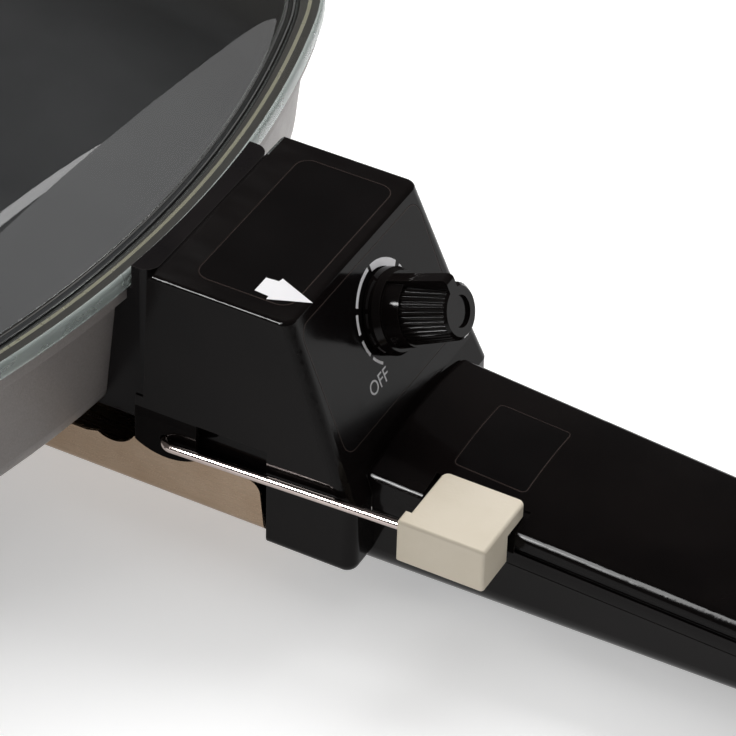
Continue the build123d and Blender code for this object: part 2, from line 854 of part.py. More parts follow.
def housing_outside():
    """Outer body of the control housing."""
    body = loft([
        housing_level(x_chin, housing_half_width, block_bottom_z),
        housing_level(x_chin, housing_half_width, chin_z),
        housing_level(x_foot, housing_half_width, slope_foot_z),
        housing_level(x_top, housing_half_top, housing_top_z),
    ], ruled=True)
    body = round_level_edges(body, -1, housing_edge)
    body = round_level_edges(body, 0, housing_foot_edge)
    return body & housing_profile(0)


def housing_front():
    """Front view of the housing: upright sides that lean in above the slope's foot."""
    return make_face(Polyline(
        (-housing_half_top, housing_top_z), (housing_half_top, housing_top_z),
        (housing_half_width, slope_foot_z), (housing_half_width, block_bottom_z),
        (-housing_half_width, block_bottom_z), (-housing_half_width, slope_foot_z), close=True))


def housing_inside():
    """Space inside the control housing's walls."""
    front = offset(housing_front(), -housing_wall, kind=Kind.INTERSECTION)
    return housing_profile(housing_wall) & extrude(Plane.YZ * front, far)


def grip_section(at, inset):
    """Cross-section of the grip at a distance from the housing's inner edge."""
    share = (at - grip_start) / grip_span
    half = grip_half_width + (grip_end_half_width - grip_half_width) * share - inset
    top = grip_top_z + (grip_end_top_z - grip_top_z) * share - inset
    low = grip_bottom_z + (grip_end_bottom_z - grip_bottom_z) * share + inset
    shoulder = half - grip_brow
    belt = top - grip_belt_drop
    crown = ThreePointArc((-shoulder, top - grip_crown), (0, top), (shoulder, top - grip_crown))
    rest = Polyline((shoulder, top - grip_crown), (half, belt), (half - grip_tuck, low),
                    (-half + grip_tuck, low), (-half, belt), (-shoulder, top - grip_crown))
    face = make_face([crown, *rest.edges()])
    corners = face.vertices().group_by(Axis.Y)
    keel = grip_keel_radius + (grip_end_keel_radius - grip_keel_radius) * share - inset
    face = fillet(corners[0], keel)
    face = fillet(face.vertices().filter_by(lambda v: abs(v.Y - belt) < 0.01), grip_belt_radius)
    tops = face.vertices().filter_by(lambda v: abs(v.Y - top + grip_crown) < 0.01)
    round_off = grip_shoulder + (grip_end_shoulder - grip_shoulder) * share
    return fillet(tops, round_off - inset / 2)


def grip_body(inset):
    """Grip from inside the housing to its end, with its walls moved inward."""
    faces = []
    for at in (grip_start, grip_end):
        plane = Plane(origin=(x_in + at, 0, 0), x_dir=(0, 1, 0), z_dir=(1, 0, 0))
        faces.append(plane * grip_section(at, inset))
    body = loft(faces, ruled=True)
    length = grip_span - inset
    outline = Rectangle(length, 2 * grip_half_width + 2, align=(Align.MIN, Align.CENTER))
    outline = fillet(outline.vertices().group_by(Axis.X)[-1], grip_corner - inset / 2)
    return body & slab(Pos(x_in + grip_start, 0, 0) * outline, 0, far)


def plateau_notch(back):
    """Space between the slope's foot and the start of the grip's top."""
    return box_between((x_in, -far, plateau_base_z - back), (x_in + plateau_at + back, far, far))


def grip_outside():
    """Grip whose top starts with a rounded edge, clear of the slope's foot."""
    whole = grip_body(0)
    top = whole & box_between((x_in + plateau_at, -far, 0), (x_grip_end, far, far))
    start = top.faces().sort_by(Axis.X)[0]
    top = fillet(start.edges().filter_by(lambda e: e.center().Z > plateau_base_z), plateau_edge)
    low = box_between((x_in, -far, 0), (x_in + plateau_at + 2 * plateau_edge, far, plateau_base_z))
    return top + (whole & low)


def below_parting(gap, start):
    """Everything below the grip's parting plane, from a distance outward."""
    z_start = parting_z + parting_slope * (start - grip_start) - gap
    z_end = parting_end_z + parting_slope - gap
    points = [(x_in + start, -1), (x_in + start, z_start), (x_in + grip_end + 1, z_end), (x_in + grip_end + 1, -1)]
    return prism_y(points, far)


def closing_screw_points():
    """Plan positions of the screws that close the handle."""
    block = [(x_in + closing_block_x, sy * closing_block_y) for sy in (-1, 1)]
    return block + [(x_in + at, 0) for at in closing_grip_x]


def closing_seat_z(x):
    """Height at which a closing screw's head rests."""
    if x < x_chin:
        return block_bottom_z + closing_head_height + 0.6
    share = (x - x_in - grip_start) / grip_span
    return grip_bottom_z + (grip_end_bottom_z - grip_bottom_z) * share + closing_head_height + 2


def closing_split_z(x):
    """Height at which the upper and lower screw posts meet."""
    if x < x_chin:
        return block_bottom_z + housing_wall + 3
    return parting_z + parting_slope * (x - x_in - grip_start)


def slope_plate(depth, gap):
    """Dial plate, or with a gap the recess that it lies in."""
    height = dial_plate_up + dial_plate_down + 2 * gap
    shape = RectangleRounded(2 * dial_plate_half_width + 2 * gap, height, plate_corner + gap)
    middle = (dial_plate_up - dial_plate_down) / 2
    return dial_plane * (Pos(-dial_y, middle, -depth) * extrude(shape, depth))


def top_plate(depth, gap):
    """Plate on the housing's top, or with a gap the recess that it lies in."""
    shape = RectangleRounded(top_plate_length + 2 * gap, 2 * top_plate_half_width + 2 * gap, plate_corner + gap)
    middle = x_in + top_plate_inset_x + top_plate_length / 2
    return slab(Pos(middle, 0, 0) * shape, housing_top_z - depth, housing_top_z)


def grip_plate(depth, gap):
    """Plate that follows the grip's crown, or with a gap its recess."""
    shape = RectangleRounded(grip_plate_length + 2 * gap, 2 * grip_plate_half_width + 2 * gap,
                             grip_plate_corner + gap)
    middle = x_in + grip_plate_start + grip_plate_length / 2
    column = slab(Pos(middle, 0, 0) * shape, parting_z, housing_top_z)
    return (column & grip_body(0)) - Pos(0, 0, -depth) * grip_body(0)


def lever_boss():
    """Round-bottomed plate on the near wall that carries the lever's pivot."""
    boss = box_between((x_in + pivot_x - lever_boss_half_length, lever_boss_face_y, lever_boss_low_z),
                       (x_in + pivot_x + lever_boss_half_length, lever_boss_face_y + lever_boss_depth,
                        pocket_top_z + 3))
    curve = Pos(x_in + pivot_x, 0, lever_boss_low_z + lever_boss_radius) * Rot(90, 0, 0)
    curve = curve * Cylinder(lever_boss_radius, far)
    upper = box_between((x_in - far, -far, pocket_top_z - 4), (x_in + far, far, far))
    return boss & (curve + upper) & extrude(Plane.YZ * housing_front(), far)


def make_upper_shell():
    shell = housing_outside()
    grip = grip_outside() - below_parting(0, grip_start - 1)
    nose = box_between((x_in - inner_lip, -nose_half_width, nose_bottom_z),
                       (x_block + 1, nose_half_width, pocket_top_z + 1))
    shell += nose
    shell += grip
    shell += lever_boss()
    cavity = housing_inside()
    cavity += box_between((x_block + housing_wall, -housing_half_width + housing_wall, block_bottom_z - 1),
                          (x_chin - housing_wall, housing_half_width - housing_wall, chin_z))
    cavity += box_between((x_in - inner_lip + housing_wall, -nose_half_width + nose_wall,
                           nose_bottom_z + nose_wall),
                          (x_block + housing_wall + 1, nose_half_width - nose_wall,
                           pocket_top_z + housing_wall + 1))
    cavity += grip_body(grip_wall) - plateau_notch(grip_wall)
    shell -= cavity
    shell -= grip_body(-small_gap) & below_parting(-small_gap, grip_start - 1)
    for x, y in closing_screw_points():
        split = closing_split_z(x)
        post = rod((x, y, split), (0, 0, 1), closing_post_radius, far)
        shell += post & (housing_outside() + grip_body(grip_wall / 2))
        shell -= rod((x, y, split - 1), (0, 0, 1), closing_screw_radius, closing_bite + 1)
    shell -= dial_rod(bushing_radius + small_gap, -2 * housing_wall, 2 * housing_wall)
    shell -= slope_plate(plate_depth, small_gap)
    shell -= top_plate(plate_depth, small_gap)
    shell -= grip_plate(plate_depth, small_gap)
    shell -= rod((x_in - far, 0, probe_z), (1, 0, 0), probe_radius + small_gap, far + housing_wall)
    for sy in (-1, 1):
        shell -= rod((x_in - far, sy * terminal_y, element_z), (1, 0, 0), pin_radius + 1,
                     far + housing_wall)
        shell -= box_between((pivot.X - cam_tip_half - 2, sy * cam_y - cam_half - cam_slot_gap, nose_bottom_z - 1),
                             (pivot.X + cam_reach() + 1, sy * cam_y + cam_half + cam_slot_gap,
                              nose_bottom_z + nose_wall + 1))
        shell -= rod((pivot.X, sy * nose_half_width + sy, pivot_z), (0, -sy, 0), bush_radius, nose_wall + 2)
    shell -= rod((pivot.X, lever_boss_face_y - 1, pivot_z), (0, 1, 0), wire_radius + body_gap,
                 lever_boss_depth + 2)
    shell -= tab_recess()
    shell -= grip_groove()
    return shell - beyond_cap_seam(small_gap)


def cam_reach():
    """Distance from the pivot to a cam's tip."""
    return pivot_z - cradle_floor_z - sheet - cam_floor_gap


def grip_groove():
    """Shallow groove along both sides of the grip, above the parting line."""
    band = below_parting(-groove_rise - groove_width, groove_start) - below_parting(-groove_rise, groove_start - 1)
    return band & (grip_body(-1) - grip_body(groove_depth))


def tab_recess():
    """Recess in the grip's near shoulder that takes the tab's plate."""
    return box_between((x_in + tab_start - recess_gap, -far, tab_top_z - tab_plate - recess_gap / 2),
                       (x_in + tab_end + recess_gap, tab_back_y + recess_gap, far))


def beyond_cap_seam(back):
    """Everything from a distance behind the end cap's seam outward."""
    return box_between((x_cap - back, -housing_half_width, 0), (x_grip_end + 1, housing_half_width, housing_top_z))


def make_end_cap():
    cap = grip_body(0) & beyond_cap_seam(0)
    cap += grip_body(grip_wall + small_gap) & beyond_cap_seam(cap_plug)
    cap -= box_between((x_cap - cap_plug - 1, -cap_pocket_half, cord_z - cap_pocket_drop),
                       (x_grip_end - cap_wall, cap_pocket_half, cord_z + cap_pocket_drop))
    return cap - rod((x_cap, 0, cord_z), (1, 0, 0), gland_radius, far)


def make_lower_shell():
    start = block_start + housing_wall + small_gap
    shell = grip_body(0) & below_parting(small_gap, grip_start)
    floor_half = housing_half_width - housing_wall - small_gap
    floor = box_between((x_in + start, -floor_half, block_bottom_z),
                        (x_chin - housing_wall - small_gap, floor_half, block_bottom_z + housing_wall))
    shell += floor
    inside = grip_body(grip_wall) & box_between((x_in, -far, block_bottom_z - far), (x_grip_end, far, far))
    inside += box_between((x_in + start + 1, -far, block_bottom_z + housing_wall), (x_chin, far, far))
    shell -= inside
    shell -= box_between((x_chin - housing_wall - small_gap, grip_half_width - 1, block_bottom_z - 1),
                         (x_chin + small_gap, far, chin_z))
    for x, y in closing_screw_points():
        split = closing_split_z(x)
        seat = closing_seat_z(x)
        post = rod((x, y, block_bottom_z if x < x_chin else 0), (0, 0, 1), closing_post_radius, split - small_gap - (
            block_bottom_z if x < x_chin else 0))
        shell += post & (grip_body(0) if x > x_chin else post)
        shell -= rod((x, y, -1), (0, 0, 1), closing_screw_radius + closing_clear, far)
        shell -= rod((x, y, -1), (0, 0, 1), closing_head_radius + closing_clear, seat + 1)
    return shell - beyond_cap_seam(small_gap)


def make_closing_screws():
    screws = []
    for x, y in closing_screw_points():
        seat = closing_seat_z(x)
        tip = closing_split_z(x) + closing_bite - 1
        screw = rod((x, y, seat - closing_head_height), (0, 0, 1), closing_head_radius, closing_head_height)
        screw += rod((x, y, seat - 1), (0, 0, 1), closing_screw_radius, tip - seat + 1)
        cross = closing_head_radius * 0.6
        for wide, deep in ((cross, 0.45), (0.45, cross)):
            screw -= box_between((x - wide, y - deep, 0), (x + wide, y + deep, seat - closing_head_height * 0.5))
        screws.append(screw)
    return screws


# ---------------------------------------------------------------------------
# Dial, thermostat and knob, built about the dial axis
# ---------------------------------------------------------------------------
def dial_rod(radius, low, high):
    """Round bar about the dial axis between two distances from the slope."""
    return dial_plane * Pos(0, 0, low) * extrude(Circle(radius), high - low)


def dial_box(x_range, y_range, z_range):
    """Box in the dial's own directions: across, up the slope, outward."""
    return dial_plane * box_between((x_range[0], y_range[0], z_range[0]), (x_range[1], y_range[1], z_range[1]))


def make_dial_bushing():
    inner = -housing_wall
    bushing = dial_rod(bushing_radius, inner - bushing_flange - frame_plate, bushing_out)
    bushing += dial_rod(bushing_flange_radius, inner - bushing_flange, inner)
    return bushing - dial_rod(shaft_radius + running_fit, -far, far)


def make_dial_nut():
    shape = RegularPolygon(dial_nut_across / 2, 6, major_radius=False)
    nut = dial_plane * extrude(shape, dial_nut_height)
    return nut - dial_rod(bushing_radius, -1, far)


def frame_at():
    """Distance of the thermostat frame's outer face behind the slope."""
    return -housing_wall - bushing_flange


def make_thermostat_frame():
    face = frame_at()
    frame = dial_box((-frame_half_width, frame_half_width), (-frame_down, frame_up), (face - frame_plate, face))
    for side in (-1, 1):
        low, high = sorted((side * frame_half_width, side * (frame_half_width - frame_plate)))
        frame += dial_box((low, high), (-frame_down, frame_up - frame_flange_short),
                          (face - frame_flange, face))
    return frame - dial_rod(bushing_radius, -far, far)


def stack_level(index):
    """Outer face of a ceramic wafer in the contact stack."""
    return frame_at() - frame_plate - index * (wafer + blade)


def make_ceramic_wafers():
    wafers = []
    for index in range(3):
        high = stack_level(index)
        wafers.append(dial_box((-wafer_half_width, wafer_half_width), (-frame_down, -frame_down + wafer_length),
                               (high - wafer, high)))
    return wafers


def make_contact_blade(index, reach_up):
    high = stack_level(index) - wafer
    return dial_box((-blade_half_width, blade_half_width), (-frame_down + 1, reach_up), (high - blade, high))


def make_contact_points():
    upper = stack_level(0) - wafer - blade
    lower = stack_level(1) - wafer
    first = dial_plane * Pos(0, contact_up, upper - contact_height) * extrude(Circle(contact_radius), contact_height)
    second = dial_plane * Pos(0, contact_up, lower) * extrude(Circle(contact_radius), contact_height)
    return [first, second]


def make_dial_shaft():
    shaft = dial_rod(shaft_radius, stack_level(0) - wafer + body_gap, shaft_out)
    return shaft - dial_box((shaft_radius * 0.5, far), (-far, far), (knob_length / 2, far))


def make_control_knob():
    low = knob_face_gap
    tip = knob_length
    points = [
        (0, low), (knob_skirt_radius, low), (knob_skirt_radius, low + knob_skirt * 0.6),
        (knob_skirt_radius - 1, low + knob_skirt), (knob_shoulder_radius, low + knob_skirt),
        (knob_shoulder_radius - 0.4, knob_rib_start), (knob_grip_radius, knob_rib_start),
        (knob_tip_radius, tip - knob_end_round), (knob_tip_radius - knob_end_round, tip), (0, tip),
    ]
    body = revolve(Plane.XZ * make_face(Polyline(*points, close=True)), Axis.Z)
    flute_start = (knob_grip_radius + knob_flute_out, 0, knob_rib_start)
    taper = (knob_tip_radius - knob_grip_radius, 0, tip - knob_rib_start)
    flute = rod(flute_start, taper, knob_flute_radius, tip)
    for index in range(knob_rib_count):
        body -= Rot(0, 0, 360 / knob_rib_count * (index + 0.5)) * flute
    fin_top = knob_grip_radius + knob_fin_rise
    fin = box_between((-knob_fin_half, 0, low + knob_skirt / 2), (knob_fin_half, fin_top, tip))
    body += fillet(fin.edges().filter_by(Axis.X).group_by(Axis.Z)[-1].sort_by(Axis.Y)[-1], knob_fin_round)
    body -= Pos(0, 0, tip - knob_dimple) * extrude(Circle(knob_dimple_radius), 5)
    body -= extrude(Circle(knob_hollow_radius), knob_hollow)
    knob = dial_plane * body
    return knob - (dial_rod(shaft_radius, -far, shaft_out) & make_shaft_flat())


def make_shaft_flat():
    """D-shaped space of the shaft inside the knob."""
    whole = dial_rod(shaft_radius + 1, -far, shaft_out)
    return whole - dial_box((shaft_radius * 0.5, far), (-far, far), (knob_length / 2, far))


# ---------------------------------------------------------------------------
# Probe, sockets and wiring
# ---------------------------------------------------------------------------
def nose_inside_x():
    """Inner face of the nose's end wall."""
    return x_in - inner_lip + housing_wall


def make_probe():
    tail = nose_inside_x() + probe_collar + probe_tail
    probe = rod((probe_tip_x, 0, probe_z), (1, 0, 0), probe_radius, tail - probe_tip_x)
    return fillet(probe.faces().sort_by(Axis.X)[0].edges(), probe_radius * 0.8)


def make_probe_collar():
    collar = rod((nose_inside_x(), 0, probe_z), (1, 0, 0), probe_collar_radius, probe_collar)
    return collar - rod((0, 0, probe_z), (1, 0, 0), probe_radius, far)


def make_socket_contacts():
    sockets = []
    for sy in (-1, 1):
        start = (nose_inside_x(), sy * terminal_y, element_z)
        tube = rod(start, (1, 0, 0), socket_radius, socket_length)
        sockets.append(tube - rod((0, sy * terminal_y, element_z), (1, 0, 0), pin_radius + contact_fit,
                                  nose_inside_x() + socket_length - 2))
    return sockets


def make_socket_blocks():
    blocks = []
    for sy in (-1, 1):
        block = box_between((nose_inside_x(), sy * terminal_y - socket_block_half, nose_bottom_z + nose_wall),
                            (nose_inside_x() + socket_length - 1, sy * terminal_y + socket_block_half,
                             element_z + socket_radius + 1.2))
        blocks.append(block - rod((0, sy * terminal_y, element_z), (1, 0, 0), socket_radius, far))
    return blocks


def make_capillary():
    start = nose_inside_x() + probe_collar + probe_tail
    frame_foot = dial_plane.from_local_coords((0, -frame_down, frame_at() - frame_plate - 3 * wafer))
    rise_x = frame_foot.X - capillary_back
    points = [(start, 0, probe_z), (rise_x, 0, probe_z), (rise_x, 0, frame_foot.Z - capillary_drop)]
    return wire_tube(points, capillary_radius, capillary_bend)


def make_cord_gland():
    end = x_grip_end
    gland = rod((end - cap_wall - gland_flange, 0, cord_z), (1, 0, 0), gland_radius, cap_wall + gland_flange)
    gland += rod((end, 0, cord_z), (1, 0, 0), gland_flange_radius, gland_flange)
    gland = fillet(gland.faces().sort_by(Axis.X)[-1].edges(), gland_flange * 0.4)
    return gland - rod((end - far, 0, cord_z), (1, 0, 0), cord_bore_radius, 2 * far)


def terminal_floor_z():
    """Height of the grip's inner floor at the terminal block."""
    share = (terminal_block_x - grip_start) / grip_span
    return grip_bottom_z + (grip_end_bottom_z - grip_bottom_z) * share + grip_wall + body_gap


def make_terminal_block():
    low = terminal_floor_z()
    start = x_in + terminal_block_x
    block = box_between((start - terminal_block_length / 2, -terminal_block_half_width, low),
                        (start + terminal_block_length / 2, terminal_block_half_width,
                         low + terminal_block_height))
    for sy in (-1, 1):
        block -= rod((start, sy * clamp_screw_y, low + 2), (0, 0, 1), clamp_screw_radius, far)
    return block


def make_clamp_screws():
    low = terminal_floor_z()
    screws = []
    for sy in (-1, 1):
        screw = rod((x_in + terminal_block_x, sy * clamp_screw_y, low + 2), (0, 0, 1), clamp_screw_radius,
                    terminal_block_height - 2 + clamp_screw_height)
        screws.append(screw)
    return screws


def make_lead(side):
    """Insulated lead from the terminal block to a socket."""
    start_x = x_in + terminal_block_x - terminal_block_length / 2
    z = terminal_floor_z() + terminal_block_height / 2
    socket_end = nose_inside_x() + socket_length
    points = [
        (start_x, side * clamp_screw_y * 1.4, z),
        (x_in + lead_turn_x, side * clamp_screw_y * 1.4, z),
        (x_block + lead_level_run, side * terminal_y, element_z),
        (socket_end, side * terminal_y, element_z),
    ]
    return wire_tube(points, lead_radius, lead_bend)


# ---------------------------------------------------------------------------
# Wire lever
# ---------------------------------------------------------------------------
def make_wire_lever():
    far_end = nose_half_width + body_gap + clip + shaft_end_gap
    points = [
        (pivot.X, far_end, pivot_z),
        (pivot.X, wire_y, pivot_z),
        (x_in + wire_end, wire_y, pivot_z + wire_rise),
    ]
    return wire_tube(points, wire_radius, wire_bend)


def make_cams():
    cams = []
    for sy in (-1, 1):
        tip_z = pivot_z - cam_reach()
        hub = Plane.XZ * Pos(pivot.X, pivot_z) * Circle(cam_hub_radius)
        lobe = Plane.XZ * make_face(Polyline(
            (pivot.X - cam_hub_radius, pivot_z), (pivot.X - cam_tip_half, tip_z + 1), (pivot.X, tip_z),
            (pivot.X + cam_tip_half, tip_z + 1), (pivot.X + cam_hub_radius, pivot_z), close=True))
        cam = extrude(hub, cam_half, both=True) + extrude(lobe, cam_half, both=True)
        cam = Pos(0, sy * cam_y, 0) * cam
        cams.append(cam - rod((pivot.X, -far, pivot_z), (0, 1, 0), wire_radius, 2 * far))
    return cams


def make_lever_bushes():
    bushes = []
    for sy in (-1, 1):
        outer = sy * nose_half_width
        bush = rod((pivot.X, outer, pivot_z), (0, -sy, 0), bush_radius, nose_wall)
        bush += rod((pivot.X, sy * (nose_half_width - nose_wall), pivot_z), (0, -sy, 0), bush_flange_radius,
                    bush_flange)
        bushes.append(bush - rod((pivot.X, -far, pivot_z), (0, 1, 0), wire_radius + running_fit, 2 * far))
    return bushes


def make_lever_clip():
    start = nose_half_width + body_gap
    clip_ring = rod((pivot.X, start, pivot_z), (0, 1, 0), clip_radius, clip)
    return clip_ring - rod((pivot.X, 0, pivot_z), (0, 1, 0), wire_radius, far)


def make_lever_tab():
    left = x_in + tab_start
    right = x_in + tab_end
    tab = box_between((left + tab_ledge, tab_front_y, tab_top_z - tab_plate), (right, tab_back_y, tab_top_z))
    tab = fillet(tab.edges().filter_by(Axis.Z).group_by(Axis.Y)[-1], tab_corner)
    block = box_between((left + tab_ledge, tab_front_y, tab_bottom_z), (right, tab_block_back_y, tab_top_z))
    ledge = box_between((left, tab_front_y, tab_bottom_z), (left + tab_ledge + 1, tab_front_y + 5, tab_top_z))
    tab += block + ledge
    tab = fillet(tab.edges().filter_by(Axis.Z).filter_by(lambda e: e.center().Y < tab_front_y + 0.01), tab_round)
    tab = fillet(tab.edges().filter_by(lambda e: e.center().Z > tab_top_z - 0.01), tab_round)
    slope = (wire_rise) / (wire_end - pivot_x)
    heading = Vector(1, 0, slope)
    start = Vector(pivot.X, wire_y, pivot_z)
    length = (wire_end - pivot_x) * math.sqrt(1 + slope**2)
    return tab - rod(start, heading, wire_radius, length)


# ---------------------------------------------------------------------------
# Build and write every node
# ---------------------------------------------------------------------------
lid_glass = make_lid_glass()

nodes = {
    "pan": make_pan(),
    "heating_element": make_element(),
    "terminal_pins": make_terminal_pins(),
    "terminal_insulators": make_terminal_insulators(),
    "leg_screws": make_leg_screws(),
    "foot_pads": make_foot_pads(),
    "cradle": make_cradle(),
    "cradle_screws": make_cradle_screws(),
    "handle_seat": make_handle_seat(),
    "handle_seat_screws": wall_screws(seat_screw_y, seat_screw_z, 1, seat_face_x),
    "helper_handle": make_helper_handle(),
    "helper_screws": wall_screws(helper_screw_y, helper_bottom_z + helper_height / 2, -1, helper_face()),
    "lid_glass": lid_glass,
    "lid_knob": make_lid_knob(),
    "lid_knob_insert": make_lid_knob_insert(),
    "lid_knob_gasket": make_lid_gasket(),
    "lid_knob_washer": make_lid_washer(),
    "lid_knob_screw": make_lid_screw(),
    "steam_vent": make_steam_vent(),
    "upper_shell": make_upper_shell(),
    "lower_shell": make_lower_shell(),
    "closing_screws": make_closing_screws(),
    "top_plate": top_plate(plate_depth, 0),
    "dial_plate": slope_plate(plate_depth, 0) - dial_rod(bushing_radius + small_gap, -1, 1),
    "grip_plate": grip_plate(plate_depth, 0),
    "dial_bushing": make_dial_bushing(),
    "dial_nut": make_dial_nut(),
    "thermostat_frame": make_thermostat_frame(),
    "ceramic_wafers": make_ceramic_wafers(),
    "adjusting_blade": make_contact_blade(0, contact_up + 3),
    "contact_blade": make_contact_blade(1, contact_up + 3),
    "contact_points": make_contact_points(),
    "probe_tube": make_probe(),
    "probe_collar": make_probe_collar(),
    "capillary_tube": make_capillary(),
    "socket_contacts": make_socket_contacts(),
    "socket_blocks": make_socket_blocks(),
    "end_cap": make_end_cap(),
    "cord_gland": make_cord_gland(),
    "terminal_block": make_terminal_block(),
    "clamp_screws": make_clamp_screws(),
    "near_lead": make_lead(-1),
    "far_lead": make_lead(1),
    "lever_bushes": make_lever_bushes(),
    "control_knob": make_control_knob(),
    "dial_shaft": make_dial_shaft(),
    "wire_lever": make_wire_lever(),
    "lever_tab": make_lever_tab(),
    "latch_cams": make_cams(),
    "lever_clip": make_lever_clip(),
}
for x_name, sx in (("rear", -1), ("front", 1)):
    for y_name, sy in (("near", -1), ("far", 1)):
        nodes[f"leg_{x_name}_{y_name}"] = make_leg(sx, sy)

for name, shape in nodes.items():
    pieces = shape if isinstance(shape, list) else [shape]
    solids = [Pos(-x_mid, 0, 0) * solid for piece in pieces for solid in piece.solids()]
    export_step(solids[0] if len(solids) == 1 else Compound(children=solids), f"parts/{name}.step")
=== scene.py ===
"""Finishes, glass, printed marks, light and camera of the electric skillet."""
import json
import logging
import math
from abc import ABC, abstractmethod
from dataclasses import dataclass
from enum import Enum, IntEnum
from typing import Iterable, Mapping, Sequence

import bmesh
import bpy
from mathutils import Matrix, Quaternion, Vector


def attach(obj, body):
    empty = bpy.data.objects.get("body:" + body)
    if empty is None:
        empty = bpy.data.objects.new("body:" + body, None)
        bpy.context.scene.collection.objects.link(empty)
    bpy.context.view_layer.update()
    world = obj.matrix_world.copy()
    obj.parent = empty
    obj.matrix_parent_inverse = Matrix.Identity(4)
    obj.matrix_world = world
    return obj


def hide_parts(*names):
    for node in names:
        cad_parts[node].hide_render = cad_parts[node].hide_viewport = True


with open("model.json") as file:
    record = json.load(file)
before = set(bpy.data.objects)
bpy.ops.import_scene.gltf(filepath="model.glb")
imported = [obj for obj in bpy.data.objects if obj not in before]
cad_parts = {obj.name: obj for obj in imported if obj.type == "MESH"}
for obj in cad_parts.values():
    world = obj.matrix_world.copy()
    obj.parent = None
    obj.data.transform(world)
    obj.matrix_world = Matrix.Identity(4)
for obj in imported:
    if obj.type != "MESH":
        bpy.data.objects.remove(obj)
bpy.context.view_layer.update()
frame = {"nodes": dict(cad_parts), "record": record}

Colour = tuple[float, float, float]
Spot = tuple[float, float, float]
Point = tuple[float, float]

log = logging.getLogger("skillet")

MM = 0.001        # metres in a millimetre
PAN_X = -91.25    # the pan's centre along X, in millimetres
INDEX = 1.5       # refraction of plastic, paint and glass
INK_RISE = 0.04   # how far printed ink stands off its plate, in millimetres
INK_SINK = 0.03   # how deep its underside lies in the plate, in millimetres


class Body(Enum):
    """The rigid bodies that the scene's own pieces ride on."""

    LID = "lid"
    HANDLE = "handle"


